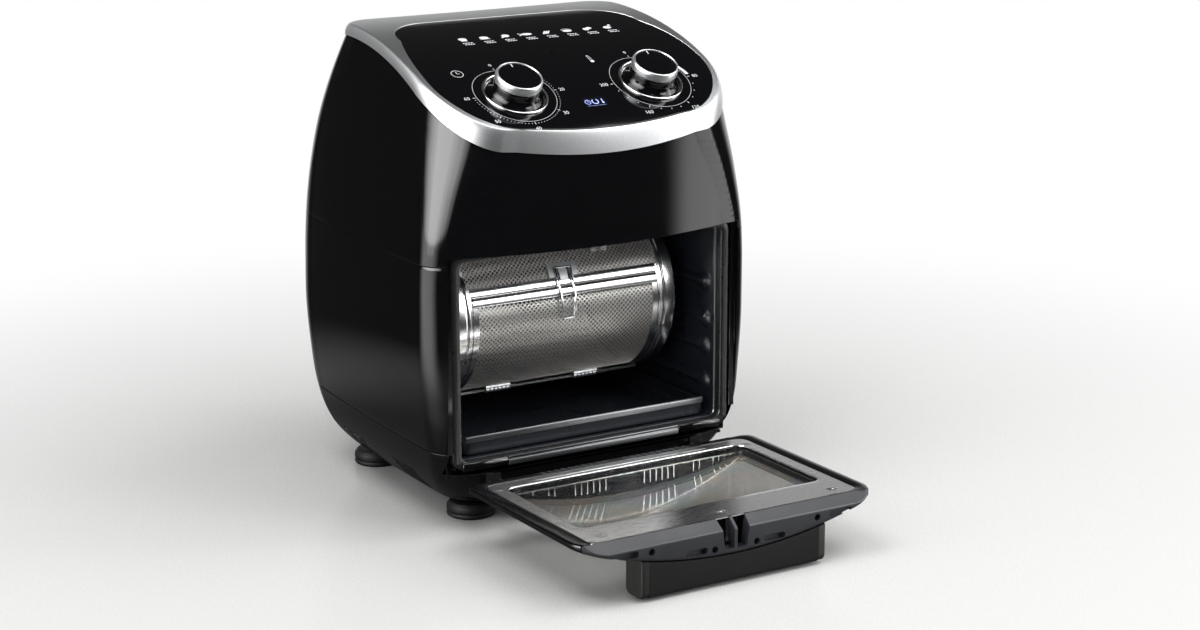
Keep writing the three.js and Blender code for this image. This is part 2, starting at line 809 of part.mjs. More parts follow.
function addBezel() {
  const outer = rimEdge(-rimProud);
  const inner = rimEdge(rimWall);
  const flush = ringFrom(panelHalf(-gap), 0);
  const ledge = ringFrom(panelHalf(panelLedge), 0);
  const onTop = (ring, drop) => ring.map((p) => point(p.x, p.y, topAt(p.y, drop)));
  const crossing = rimCrossingShares.map((share) => outer.map((low, k) => {
    const high = flush[k];
    const x = THREE.MathUtils.lerp(low.x, high.x, share);
    const y = THREE.MathUtils.lerp(low.y, high.y, share);
    const inward = Math.min(1, (share * Math.hypot(high.x - low.x, high.y - low.y)) / rimRoundWidth);
    const lift = Math.sqrt(1 - (1 - inward) ** 2);
    return point(x, y, THREE.MathUtils.lerp(low.z, topAt(y), lift));
  }));
  const seat = panelThickness + gap;
  const whole = skin([
    outer,
    ...crossing,
    onTop(flush, 0),
    onTop(flush, seat),
    onTop(ledge, seat),
    onTop(ledge, seat + ledgeThickness),
    inner,
  ], true);
  addPiece('control_bezel', cut(whole, rimBody(gap)), 'silver');
}

// Frames of the dials and of the display window on the curved panel
function panelPlace(x, arc) {
  const angle = panelTilt - arc / topRadius;
  const y = topAxisBack - topRadius * Math.sin(angle);
  const z = topAxisHeight + topRadius * Math.cos(angle);
  return new THREE.Matrix4().makeRotationX(angle).setPosition(x, y, z);
}

const dialSpacing = halfWidthAt(crownHeight) - panelSideInset - dialSideInset;
const dials = [['timer', -dialSpacing], ['temperature', dialSpacing]];

function addPanel() {
  const outline = new THREE.Shape(ringFrom(panelHalf(0), 0).map((p) => new THREE.Vector2(p.x, p.y)));
  const plan = prism(outline, 'z', rimAxisHeight, crownHeight + overrun);
  let panel = common(cut(plan, topBody(panelThickness)), topBody(0));
  const holeRadius = dialRingRadius + gap;
  for (const [, x] of dials) {
    const hole = new THREE.CylinderGeometry(holeRadius, holeRadius, overrun * 2, dialSteps);
    hole.rotateX(Math.PI / 2);
    panel = cut(panel, solidOf(hole.applyMatrix4(panelPlace(x, 0))));
  }
  const place = panelPlace(0, windowArc);
  const pocket = new THREE.BoxGeometry(windowWidth + gap * 2, windowHeight + gap * 2, overrun * 2);
  panel = cut(panel, solidOf(pocket.applyMatrix4(place)));
  addPiece('control_panel', panel, 'glossBlack');
  const pane = new THREE.BoxGeometry(windowWidth, windowHeight, windowDepth);
  pane.translate(0, 0, -windowDepth / 2);
  addPiece('display_window', solidOf(pane.applyMatrix4(place)), 'glass');
}

function addDials() {
  for (const [name, x] of dials) {
    const place = panelPlace(x, 0);
    const bottom = -dialRingDepth;
    addPiece(`${name}_dial_ring`, turned([
      [dialRingFloorInner, bottom],
      [dialRingRadius, bottom],
      [dialRingRadius, dialRingProud - gap],
      [dialRingRadius - gap, dialRingProud],
      [dialRingInner, dialRingProud],
      [dialRingInner, bottom + dialRingFloor],
      [dialRingFloorInner, bottom + dialRingFloor],
      [dialRingFloorInner, bottom],
    ], place, dialSteps), 'chrome');
    const floor = bottom + dialRingFloor + knobFloorGap;
    const shoulder = knobTrimBottom - gap;
    const bell = steps(bellSteps, (t) => {
      const flare = (knobSkirtRadius - gap - knobTrimRadius) * (1 - Math.sin((t * Math.PI) / 2));
      return [knobTrimRadius - gap * 2 + flare, THREE.MathUtils.lerp(0, shoulder, t)];
    });
    addPiece(`${name}_knob`, turned([
      [0, -knobShaftDepth],
      [knobShaftRadius, -knobShaftDepth],
      [knobShaftRadius, floor],
      [knobSkirtRadius, floor],
      ...bell,
      [knobNeckRadius, shoulder],
      [knobNeckRadius, knobHeight],
      [0, knobHeight],
    ], place, roundSteps), 'glossBlack');
    addPiece(`${name}_knob_trim`, turned([
      [knobNeckRadius + gap, knobTrimBottom],
      [knobTrimRadius - gap, knobTrimBottom],
      [knobTrimRadius, knobTrimBottom + knobTrimRound],
      [knobTrimRadius - knobTrimRound / 2, knobHeight - knobTrimRound],
      [knobTrimRadius - knobTrimRound, knobHeight + gap],
      [knobNeckRadius + gap, knobHeight + gap],
      [knobNeckRadius + gap, knobTrimBottom],
    ], place, roundSteps), 'chrome');
    const unitTop = bottom - gap;
    const box = new THREE.BoxGeometry(dialUnitSize, dialUnitSize, dialUnitDepth);
    box.translate(0, 0, unitTop - dialUnitDepth / 2);
    const boreRadius = knobShaftRadius + gap;
    const bore = new THREE.CylinderGeometry(boreRadius, boreRadius, dialUnitBore * 2, roundSteps);
    bore.rotateX(Math.PI / 2);
    bore.translate(0, 0, unitTop);
    const unit = cut(solidOf(box.applyMatrix4(place)), solidOf(bore.applyMatrix4(place)));
    addPiece(`${name}_unit`, unit, 'darkGrey');
  }
}

function addMouth() {
  const flangeTop = hoodLipHeight - gap;
  const outline = roundedRectangle(
    -flangeHalfWidth, flangeHalfWidth, flangeBottom, flangeTop, gap, mouthCorner,
  );
  outline.holes.push(roundedRectangle(-mouthHalfWidth, mouthHalfWidth, mouthBottom, mouthTop, mouthCorner));
  const ring = prism(outline, 'y', flangeFront, flangeBack);
  const notch = block(-wide, wide, 0, sillBack + gap, 0, mouthBottom);
  const catchHole = block(
    -catchHalfWidth - gap, catchHalfWidth + gap, 0, overrun + flangeBack,
    catchHeight - catchHalfHeight - gap, catchHeight + catchHalfHeight + gap,
  );
  const bossHalf = catchHalfWidth + catchSide;
  const bossLow = catchHeight - catchHalfHeight * 2;
  const boss = block(-bossHalf, bossHalf, flangeFront, flangeBack, bossLow, mouthTop + gap);
  addPiece('front_flange', cut(join(ring, boss), notch, catchHole), 'satinBlack');
  const inner = mouthHalfWidth + sealInnerInset;
  const sealOuter = inner + sealWidth;
  const sealTop = mouthTop + sealTopRise;
  const sealEdge = sealTop + sealInnerInset;
  const seal = roundedRectangle(-sealOuter, sealOuter, mouthBottom, sealEdge, gap, mouthCorner);
  const opening = prism(roundedRectangle(-inner, inner, 0, sealTop, gap, mouthCorner), 'y', 0, wide);
  addPiece('door_seal', cut(prism(seal, 'y', sealFront, flangeFront - gap), opening), 'rubber');
  const top = mouthBottom - sillDrop;
  const sillHalf = coverInner - gap;
  addPiece('front_sill', block(-sillHalf, sillHalf, sillFront, sillBack, sillBottom, top), 'steel');
  const cover = roundedRectangle(sillFront, sillBack + coverRound, sillBottom, top, coverRound / 2);
  for (const [name, x0, x1] of [
    ['left_hinge_cover', -mouthHalfWidth, -coverInner],
    ['right_hinge_cover', coverInner, mouthHalfWidth],
  ]) {
    const whole = prism(cover, 'x', x0, x1);
    addPiece(name, common(whole, block(x0, x1, 0, sillBack, 0, wide)), 'glossBlack');
  }
  const [catchLow, catchHigh] = [catchHeight - catchHalfHeight, catchHeight + catchHalfHeight];
  const catchEnd = flangeBack + catchTail;
  const catchTip = flangeFront - catchReach;
  const plunger = block(-catchHalfWidth, catchHalfWidth, catchTip, catchEnd, catchLow, catchHigh);
  const stopHalf = catchHalfWidth + catchTail;
  const stop = block(-stopHalf, stopHalf, flangeBack + gap, catchEnd, catchLow, catchHigh);
  const ribRoom = block(-notchRib, notchRib, -wide, flangeFront, 0, wide * 2);
  addPiece('door_catch', cut(join(plunger, stop), ribRoom), 'steel');
}

function addCavity() {
  const inside = mouthHalfWidth;
  const half = inside + linerWall;
  const front = flangeBack + gap;
  const floor = mouthBottom - linerWall;
  const outer = block(-half, half, front, cavityBack + linerWall, floor, cavityTop + linerWall);
  const inner = block(-inside, inside, front + linerWall, cavityBack, mouthBottom, cavityTop);
  const opening = prism(
    roundedRectangle(-mouthHalfWidth, mouthHalfWidth, mouthBottom, mouthTop, mouthCorner), 'y', 0, railFront,
  );
  const roomHalf = catchHalfWidth + catchSide;
  const catchRoom = block(
    -roomHalf, roomHalf, 0, front + linerWall * 2,
    mouthTop - mouthCorner * 2, mouthTop + gap,
  );
  const railHeights = [
    drumHeight - railLowest, drumHeight - railLow, drumHeight - railBelow, drumHeight + railAbove,
  ];
  const railBack = cavityBack - railBackInset;
  const rails = railHeights.flatMap((z) => [-1, 1].map((side) => {
    const edges = [side * (inside - railReach), side * (inside + linerWall / 2)].sort((a, b) => a - b);
    return block(edges[0], edges[1], railFront, railBack, z - railHalfHeight, z + railHalfHeight);
  }));
  const lampHole = rod('x', lampRadius + gap, inside - overrun, half + overrun, lampBack, lampHeight);
  const driveOpening = rod('x', driveHole, -half - overrun, -inside + overrun / 2, drumBack, drumHeight);
  const fanOpening = rod('z', fanShaftHole, cavityTop - overrun / 2, cavityTop + overrun, 0, fanBack);
  const legHoles = [-1, 1].map((side) => rod(
    'z', elementTube + gap * 2, cavityTop - overrun / 2, cavityTop + overrun,
    (side * elementLegSpacing) / 2, elementLegBack, roundSteps / 2,
  ));
  const holes = [opening, catchRoom, lampHole, driveOpening, fanOpening, ...legHoles];
  addPiece('cavity_liner', cut(join(cut(outer, inner), ...rails), ...holes), 'coated');
}

function addHeater() {
  const torus = new THREE.TorusGeometry(elementRadius, elementTube, 5, drumSteps);
  torus.translate(0, fanBack, elementHeight);
  const legs = [-1, 1].map((side) => rod(
    'z', elementTube, elementHeight, elementLegTop,
    (side * elementLegSpacing) / 2, elementLegBack, roundSteps / 3,
  ));
  addPiece('heating_element', join(solidOf(torus), ...legs), 'steel');
  const guardTop = guardHeight + guardThickness;
  const plate = block(-guardHalfWidth, guardHalfWidth, guardFront, guardBack, guardHeight, guardTop);
  const sides = [-1, 1].map((side) => {
    const edges = [side * guardHalfWidth, side * (guardHalfWidth - guardThickness)].sort((a, b) => a - b);
    return block(edges[0], edges[1], guardFront, guardBack, guardHeight, cavityTop - gap);
  });
  const inside = guardHalfWidth - guardBorder;
  const pitch = (inside * 2) / guardSlots;
  const slots = steps(guardSlots - 1, (t) => {
    const x = THREE.MathUtils.lerp(-inside + pitch / 2, inside - pitch / 2, t);
    const [x0, x1] = [x - guardSlotWidth / 2, x + guardSlotWidth / 2];
    return block(x0, x1, guardFront + guardBorder, guardBack - guardBorder, 0, guardTop + guardThickness);
  });
  addPiece('element_guard', cut(join(plate, ...sides), ...slots), 'steel');
  const blades = steps(fanBladeCount - 1, (t) => {
    const blade = new THREE.BoxGeometry(fanRadius - fanHubRadius / 2, fanBladeThickness, fanTop - fanBottom);
    blade.translate((fanRadius + fanHubRadius / 2) / 2, 0, (fanTop + fanBottom) / 2);
    blade.rotateZ((t * 2 * Math.PI * (fanBladeCount - 1)) / fanBladeCount);
    blade.translate(0, fanBack, 0);
    return solidOf(blade);
  });
  addPiece('convection_fan', join(
    rod('z', fanHubRadius, fanBottom, fanTop, 0, fanBack),
    rod('z', fanRadius, fanTop - fanDisc, fanTop, 0, fanBack),
    rod('z', fanShaftRadius, fanTop - fanDisc, fanShaftTop, 0, fanBack),
    ...blades,
  ), 'steel');
  const seat = cavityTop + linerWall + gap;
  addPiece('fan_motor', cut(
    rod('z', fanMotorRadius, seat, seat + fanMotorHeight, 0, fanBack),
    rod('z', fanShaftRadius + gap, seat - overrun, fanShaftTop + gap, 0, fanBack),
  ), 'steel');
}

function addLamp() {
  const place = new THREE.Matrix4().makeRotationY(-Math.PI / 2);
  place.setPosition(mouthHalfWidth - gap, lampBack, lampHeight);
  const dome = steps(4, (t) => {
    const angle = (t * Math.PI) / 2;
    return [lampRadius * Math.cos(angle), lampFlangeThickness + lampDome * Math.sin(angle)];
  });
  addPiece('lamp_lens', turned([
    [0, -lampSocketDepth],
    [lampRadius, -lampSocketDepth],
    [lampRadius, 0],
    [lampRadius + lampFlange, 0],
    [lampRadius + lampFlange, lampFlangeThickness],
    ...dome.slice(0, -1),
    [0, lampFlangeThickness + lampDome],
  ], place), 'lens');
}

// Drum outline pieces, with angles from the front, upwards positive
function drumAt(radius, angle) {
  return [drumBack - radius * Math.cos(angle), drumHeight + radius * Math.sin(angle)];
}

function drumSector(inner, outer, low, high, x0, x1) {
  const count = Math.max(2, Math.round(((high - low) / (2 * Math.PI)) * drumSteps));
  const outside = steps(count, (t) => drumAt(outer, THREE.MathUtils.lerp(low, high, t)));
  const inside = steps(count, (t) => drumAt(inner, THREE.MathUtils.lerp(high, low, t)));
  return prism(polygon([...outside, ...inside].reverse()), 'x', x0, x1);
}

// Diamond holes of the drum's mesh, over a range of angles and lengths
function meshHoles(low, high, halfLength, rows, columns) {
  const holes = [];
  const pitchAlong = (halfLength * 2) / columns;
  const pitchAround = ((high - low) * drumRadius) / rows;
  for (let row = 0; row < rows; row++) {
    for (let column = 0; column < columns - (row % 2); column++) {
      const angle = low + ((row + 0.5) * (high - low)) / rows;
      const x = -halfLength + (column + 0.5 + (row % 2) / 2) * pitchAlong;
      const hole = new THREE.CylinderGeometry(1, 1, overrun / 2, 4);
      hole.scale((pitchAlong / 2) * drumHoleShare, 1, pitchAround * drumHoleShare);
      hole.translate(0, drumRadius, 0);
      hole.rotateX(Math.PI / 2 + Math.PI / 2 - angle);
      hole.translate(x, drumBack, drumHeight);
      holes.push(solidOf(hole));
    }
  }
  return holes;
}

function addDrum() {
  const inner = drumRadius - drumWall;
  const end = drumHalfLength - capDepth;
  const hatchHalf = end - hatchInset;
  const tube = cut(
    rod('x', drumRadius, -end, end, drumBack, drumHeight, drumSteps),
    rod('x', inner, -wide, wide, drumBack, drumHeight, drumSteps),
  );
  const opening = drumSector(
    inner - overrun, drumRadius + overrun, hatchLow, hatchHigh, -hatchHalf, hatchHalf,
  );
  const border = drumBorder / drumRadius;
  const backHoles = meshHoles(
    hatchHigh + border, hatchLow + 2 * Math.PI - border, end - hatchInset, drumHolesAround, drumHolesAlong,
  );
  addPiece('drum_shell', cut(tube, opening, ...backHoles), 'steel');

  const hatchSpan = hatchHigh - hatchLow;
  const clear = hatchGap / drumRadius;
  const rows = Math.round((drumHolesAround * hatchSpan) / (2 * Math.PI - hatchSpan));
  const hatchEnd = hatchHalf - hatchGap;
  const panel = drumSector(inner, drumRadius, hatchLow + clear, hatchHigh - clear, -hatchEnd, hatchEnd);
  const lowest = hatchLow + hatchLowBorder / drumRadius;
  const highest = hatchHigh - hatchHighBorder / drumRadius;
  const holes = meshHoles(lowest, highest, hatchHalf - hatchInset, rows, drumHolesAlong);
  const rodCentre = drumAt(drumRadius + rodStand, hatchLow - clear);
  const leafLow = hatchLow + clear;
  const knuckles = [-1, 1].flatMap((side) => {
    const [x0, x1] = [side * knuckleInner, side * (knuckleInner + knuckleLength)].sort((a, b) => a - b);
    const leafHigh = leafLow + leafWidth / drumRadius;
    const leaf = drumSector(drumRadius - drumWall / 2, drumRadius + rodStand, leafLow, leafHigh, x0, x1);
    return [rod('x', knuckleRadius, x0, x1, ...rodCentre, roundSteps / 2), leaf];
  });
  const rodHole = rod('x', rodRadius + gap, -wide, wide, ...rodCentre, roundSteps / 2);
  const inside = rod('x', inner, -wide, wide, drumBack, drumHeight, drumSteps);
  addPiece('drum_hatch', cut(join(cut(panel, ...holes), ...knuckles), rodHole, inside), 'steel');
  addPiece('hatch_hinge_rod', rod('x', rodRadius, -end, end, ...rodCentre, roundSteps / 3), 'steel');
  const bandLow = bandHigh - bandWidth / drumRadius;
  addPiece('hatch_band', drumSector(
    drumRadius + gap, drumRadius + gap + bandThickness, bandLow, bandHigh, -hatchEnd, hatchEnd,
  ), 'chrome');
  const latchHalf = latchDepth / drumRadius / 2;
  addPiece('latch_plate', drumSector(
    drumRadius + gap, drumRadius + gap + latchThickness,
    latchAngle - latchHalf, latchAngle + latchHalf, -latchWidth / 2, latchWidth / 2,
  ), 'steel');
  addBail();
  addDrumEnds();
}

// Wire loop hinged above the latch plate, lying down over the hatch
function addBail() {
  const radius = drumRadius + gap * 2 + bandThickness + bailWire;
  const along = steps(bailSteps, (t) => drumAt(radius, bailAngle - (t * bailLength) / radius));
  const [pivot, foot] = [along[0], along.at(-1)];
  const legs = [-1, 1].map((side) => {
    const curve = new THREE.CatmullRomCurve3(along.map(([y, z]) => point(side * bailHalfWidth, y, z)));
    return solidOf(new THREE.ExtrudeGeometry(polygon(steps(5, (t) => [
      bailWire * Math.cos(t * 2 * Math.PI), bailWire * Math.sin(t * 2 * Math.PI),
    ]).slice(1)), { extrudePath: curve, steps: bailSteps, bevelEnabled: false }));
  });
  const span = bailHalfWidth + bailWire;
  addPiece('latch_bail', join(
    rod('x', bailWire, -span, span, ...pivot, roundSteps / 3),
    rod('x', bailWire, -span, span, ...foot, roundSteps / 3),
    ...legs,
  ), 'chrome');
}

function addDrumEnds() {
  const inner = drumRadius - drumWall - gap;
  const end = drumHalfLength - capDepth;
  const rim = drumRadius + capWall + gap;
  const cup = (side) => {
    const place = new THREE.Matrix4().makeRotationY((side * Math.PI) / 2);
    place.setPosition(0, drumBack, drumHeight);
    return turned([
      [0, end + gap],
      [inner - capWall, end + gap],
      [drumRadius - capWall * 2, drumHalfLength - capWall],
      [drumRadius + gap, drumHalfLength - capWall],
      [drumRadius + gap, end - capLip],
      [rim, end - capLip],
      [rim, drumHalfLength - gap],
      [rim - gap, drumHalfLength],
      [drumRadius - capWall * 3, drumHalfLength],
      [inner - capWall * 2, end + gap + capWall],
      [0, end + gap + capWall],
    ], place, drumSteps);
  };
  const capMiddle = end + gap + capWall / 2;
  const square = block(
    -drumHalfLength - spindleReach, -capMiddle,
    drumBack - spindleHalf, drumBack + spindleHalf, drumHeight - spindleHalf, drumHeight + spindleHalf,
  );
  const peg = rod('x', idlerRadius, capMiddle, drumHalfLength + idlerReach, drumBack, drumHeight);
  const rodEnd = drumAt(drumRadius + rodStand, hatchLow - hatchGap / drumRadius);
  const rodRoom = rod('x', rodRadius + gap, -end - gap, end + gap, ...rodEnd, roundSteps / 3);
  addPiece('left_drum_cap', cut(join(cup(-1), square), rodRoom), 'chrome');
  addPiece('right_drum_cap', cut(join(cup(1), peg), rodRoom), 'chrome');
}

function addDrive() {
  const wallFace = -mouthHalfWidth + gap;
  const hub = rod('x', socketRadius, wallFace, wallFace + socketLength, drumBack, drumHeight);
  const bore = spindleHalf + gap;
  const square = block(
    wallFace + socketLength - socketDepth, wallFace + socketLength + overrun,
    drumBack - bore, drumBack + bore, drumHeight - bore, drumHeight + bore,
  );
  const back = -mouthHalfWidth - linerWall - gap;
  const shaft = rod('x', driveShaftRadius, back - driveShaftReach, wallFace + gap, drumBack, drumHeight);
  addPiece('drive_socket', join(cut(hub, square), shaft), 'steel');
  addPiece('drum_motor', cut(
    rod('x', drumMotorRadius, back - drumMotorDepth, back, drumBack, drumHeight),
    rod('x', driveShaftRadius + gap, back - driveShaftReach - gap, back + overrun, drumBack, drumHeight),
  ), 'steel');
  const seat = mouthHalfWidth - gap;
  const slotRadius = idlerRadius + gap;
  const [bracketLow, bracketHigh] = [drumHeight - bracketBelow, drumHeight + bracketAbove];
  const [y0, y1] = [drumBack - bracketHalfWidth, drumBack + bracketHalfWidth];
  addPiece('drum_bracket', cut(
    block(seat - bracketReach, seat, y0, y1, bracketLow, bracketHigh),
    rod('x', slotRadius, 0, wide, drumBack, drumHeight),
    block(0, wide, drumBack - slotRadius, drumBack + slotRadius, drumHeight, drumHeight + overrun),
  ), 'steel');
}

function addTray() {
  const bottom = mouthBottom + gap;
  const outer = block(-trayHalfWidth, trayHalfWidth, trayFront, trayBack, bottom, bottom + trayHeight);
  const lipBack = trayFront + trayWall * 2;
  const lipTop = bottom + trayHeight + trayLipRise;
  const lip = block(-trayHalfWidth, trayHalfWidth, trayFront, lipBack, bottom, lipTop);
  const half = trayHalfWidth - trayWall;
  const inner = block(-half, half, lipBack, trayBack - trayWall, bottom + trayWall, bottom + overrun);
  addPiece('drip_tray', cut(join(outer, lip), inner), 'coated');
}

// Door, in the frame of its hinge
const door = new THREE.Group();
door.position.set(0, hingeBack, hingeHeight);
door.rotation.x = doorOpenAngle;

function bowBody(front) {
  return rod('z', bowRadius, -doorTop, doorTop * 2, 0, front + bowRadius, cylinderSteps);
}

function doorOutline(inset) {
  return roundedRectangle(
    -doorHalfWidth + inset, doorHalfWidth - inset, doorBottom + inset, doorTop - inset,
    Math.max(doorBottomCorner - inset, gap), doorTopCorner - inset,
  );
}

function addDoor() {
  const rear = doorRear - plateThickness - gap;
  const whole = common(prism(doorOutline(0), 'y', -wide, rear), bowBody(-doorFront));
  const hollow = common(
    prism(doorOutline(doorSideWall), 'y', -wide, rear + overrun),
    bowBody(-doorFront + doorWall),
  );
  const below = block(-wide, wide, -wide, wide, -wide, railBottom - gap);
  const above = block(-wide, wide, -wide, wide, railBottom, wide * 2);
  const windowHalf = plateWindowHalfWidth - frontWindowLap;
  const frontWindow = prism(roundedRectangle(
    -windowHalf, windowHalf,
    plateWindowBottom + frontWindowLap, plateWindowTop - frontWindowLap, plateWindowCorner,
  ), 'y', -wide, 0);
  const wallEnd = doorBottom + doorSideWall;
  const ends = doorSlotShares.map((share, k) => {
    const x = share * hingeAt;
    const half = (doorSlotLengthShares[k] * hingeAt) / 2;
    const top = rear - doorSlotDrop;
    return block(x - half, x + half, top - doorSlotHeight, top, 0, wallEnd + gap);
  });
  const armRoom = [-1, 1].map((side) => {
    const [x0, x1] = [side * hingeAt - armWidth / 2 - gap, side * hingeAt + armWidth / 2 + gap];
    return block(x0, x1, -armHalfDepth - gap, wide, 0, wallEnd + overrun / 2);
  });
  const shell = cut(common(whole, below), hollow, frontWindow, ...ends, ...armRoom);
  addPiece('door_shell', shell, 'glossBlack', door);
  const rail = common(prism(doorOutline(0), 'y', -wide, doorRear), bowBody(-doorFront), above);
  addPiece('door_top_rail', topRail(rail), 'darkGrey', door);

  const plateOutline = roundedRectangle(
    -doorHalfWidth + plateInset, doorHalfWidth - plateInset,
    doorBottom, railBottom - gap, doorBottomCorner, gap,
  );
  plateOutline.holes.push(roundedRectangle(
    -plateWindowHalfWidth, plateWindowHalfWidth, plateWindowBottom, plateWindowTop, plateWindowCorner,
  ));
  addPiece('door_inner_plate', prism(plateOutline, 'y', doorRear - plateThickness, doorRear), 'steel', door);
  const pane = roundedRectangle(
    -plateWindowHalfWidth - glassLap, plateWindowHalfWidth + glassLap,
    plateWindowBottom - glassLap, plateWindowTop + glassLap, plateWindowCorner,
  );
  const innerBack = doorRear - plateThickness - gap;
  addPiece('door_inner_glass', prism(pane, 'y', innerBack - glassThickness, innerBack), 'glass', door);
  const paneFront = -doorFront + doorWall + gap;
  const outerPane = common(
    cut(prism(pane, 'y', -wide, innerBack - glassThickness - gap), bowBody(paneFront + glassThickness)),
    bowBody(paneFront),
  );
  addPiece('door_outer_glass', outerPane, 'glass', door);
}

function topRail(whole) {
  const chamfer = prism(polygon([
    [doorRear + gap, railBottom + gap],
    [doorRear + overrun, railBottom + gap],
    [doorRear + overrun, doorTop + overrun],
    [doorRear - railChamfer, doorTop + gap],
  ]), 'x', -wide, wide);
  const slotFloor = doorTop - railSlotCut;
  const { outerSlot, innerSlot, outerHole, innerHole } = railSlotShares;
  const mirrored = ([share, y]) => [[-share * doorHalfWidth, y], [share * doorHalfWidth, y]];
  const slots = [
    [outerSlot, railSlotOuterDepth], [innerSlot, railSlotInnerDepth],
  ].flatMap(mirrored).map(([x, y]) => prism(roundedRectangle(
    x - railSlotLength / 2, x + railSlotLength / 2, y - railSlotWidth / 2, y + railSlotWidth / 2,
    railSlotWidth / 2 - gap,
  ), 'z', slotFloor, doorTop + overrun, 2));
  const holes = [
    [outerHole, railSlotOuterDepth], [innerHole, railSlotInnerDepth],
  ].flatMap(mirrored).map(([x, y]) => rod(
    'z', railHoleRadius, slotFloor, doorTop + overrun, x, y, roundSteps / 2,
  ));
  const notches = [-1, 1].map((side) => {
    const edges = [(side * notchRib) / 2, side * notchHalfWidth].sort((a, b) => a - b);
    return block(edges[0], edges[1], -notchFront, wide, railBottom - overrun, doorTop + overrun);
  });
  return cut(whole, chamfer, ...slots, ...holes, ...notches);
}

function addHandle() {
  const face = -doorFront - gap;
  const grip = handleHalfWidth - handleEndWidth - gap;
  const bend = handleRound * (1 - Math.SQRT1_2);
  const outline = polygon([
    [face, handleTop],
    [-handleReach + handleRound, handleTop],
    [-handleReach + bend, handleTop - bend],
    [-handleReach, handleTop - handleRound],
    [-handleReach, handleBottom],
    [-handleReach + handleWall, handleBottom],
    [-handleReach + handleWall, handleTop - handleWall * 2],
    [-handleReach + handleWall * 2, handleTop - handleWall],
    [face, handleTop - handleWall],
  ].reverse());
  const bowed = bowBody(-doorFront - gap);
  const body = cut(prism(outline, 'x', -grip, grip), bowed);
  const seatBlock = cut(
    block(-grip, grip, -doorFront - gap * 2, doorRear, handleTop - handleWall, handleTop),
    bowed,
  );
  addPiece('door_handle', join(body, seatBlock), 'darkGrey', door);
  const end = roundedRectangle(-handleReach, doorRear + overrun, handleBottom, handleTop, handleRound);
  for (const [name, side] of [['left_handle_end', -1], ['right_handle_end', 1]]) {
    const edges = [side * (grip + gap), side * handleHalfWidth].sort((a, b) => a - b);
    addPiece(name, cut(prism(end, 'x', edges[0], edges[1]), bowBody(-doorFront - gap)), 'silver', door);
  }
}

function addHinges() {
  const seat = wallFront - gap;
  for (const [name, side] of [['left', -1], ['right', 1]]) {
    const middle = side * hingeAt;
    const armLow = middle - armWidth / 2;
    const armHigh = middle + armWidth / 2;
    const arm = cut(
      join(
        rod('x', knuckleOuter, armLow, armHigh, 0, 0),
        block(armLow, armHigh, -armHalfDepth, armHalfDepth, 0, armReach),
      ),
      rod('x', pinRadius + gap, -wide, wide, 0, 0, roundSteps / 2),
    );
    addPiece(`${name}_hinge_arm`, arm, 'steel', door);
    const pinHalf = armWidth / 2 + gap + earThickness + pinEnd;
    addPiece(`${name}_hinge_pin`, rod(
      'x', pinRadius, middle - pinHalf, middle + pinHalf, hingeBack, hingeHeight, roundSteps / 2,
    ), 'steel');
    const ears = [-1, 1].map((edge) => {
      const x = [middle + edge * (armWidth / 2 + gap), middle + edge * (armWidth / 2 + gap + earThickness)];
      x.sort((a, b) => a - b);
      const eye = knuckleOuter - gap;
      return join(
        rod('x', eye, x[0], x[1], hingeBack, hingeHeight),
        block(x[0], x[1], hingeBack, seat, hingeHeight - eye, hingeHeight + eye),
      );
    });
    const half = armWidth / 2 + gap + earThickness;
    const plateTop = wallTop - earPlateDrop;
    const [x0, x1] = [middle - half, middle + half];
    const plate = block(x0, x1, seat - earPlateThickness, seat, bracketBottom, plateTop);
    const bracket = cut(
      join(plate, ...ears),
      rod('x', pinRadius + gap, -wide, wide, hingeBack, hingeHeight, roundSteps / 2),
    );
    addPiece(`${name}_hinge_bracket`, bracket, 'steel');
  }
}

addBase();
addFeet();
addCasing();
addRearCover();
addBezel();
addPanel();
addDials();
addMouth();
addCavity();
addHeater();
addLamp();
addDrum();
addDrive();
addTray();
addDoor();
addHandle();
addHinges();
assembly.add(door);

// The origin lies on the table, under the middle of the footprint with the door open
const frontReach = hingeBack - doorTop;
const backReach = backAt(inletHeight) + inletFlange;
const oven = new THREE.Group();
assembly.position.set(0, -(frontReach + backReach) / 2, 0);
oven.add(assembly);

export default oven;
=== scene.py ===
import json
import math

import bpy
import numpy as np
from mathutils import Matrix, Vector


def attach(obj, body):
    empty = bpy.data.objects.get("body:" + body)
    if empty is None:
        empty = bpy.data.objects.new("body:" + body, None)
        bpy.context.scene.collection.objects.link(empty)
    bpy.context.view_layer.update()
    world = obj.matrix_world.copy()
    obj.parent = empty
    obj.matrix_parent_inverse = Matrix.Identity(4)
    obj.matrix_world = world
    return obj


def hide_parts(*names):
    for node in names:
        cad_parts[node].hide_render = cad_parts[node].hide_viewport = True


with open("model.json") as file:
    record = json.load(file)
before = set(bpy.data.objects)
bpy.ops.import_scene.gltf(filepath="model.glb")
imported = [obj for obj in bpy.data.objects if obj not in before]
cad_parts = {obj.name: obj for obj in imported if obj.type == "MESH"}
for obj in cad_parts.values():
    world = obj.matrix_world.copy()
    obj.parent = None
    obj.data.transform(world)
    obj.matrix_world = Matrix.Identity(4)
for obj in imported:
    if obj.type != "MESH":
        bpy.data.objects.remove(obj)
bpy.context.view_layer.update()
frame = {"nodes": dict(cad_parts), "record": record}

# Everything is worked out in millimetres from the oven's mouth plane, and written in metres
MM = 0.001
SHIFT = -45.8882  # where that plane lies in the shared frame, whose origin is under the middle of the open oven

# ---------------------------------------------------------------- scene, camera and light

scene = bpy.context.scene
scene.view_settings.view_transform = "Standard"

# The photograph's viewpoint: its place, how far it looks down and to the right in degrees, and its lens in mm
EYE, DOWN, RIGHT, LENS, SENSOR = (-1.18822, -1.96603, 0.765495), 14.468, 31.799, 79.468, 36
ROOM = 30  # half the floor's width, in metres

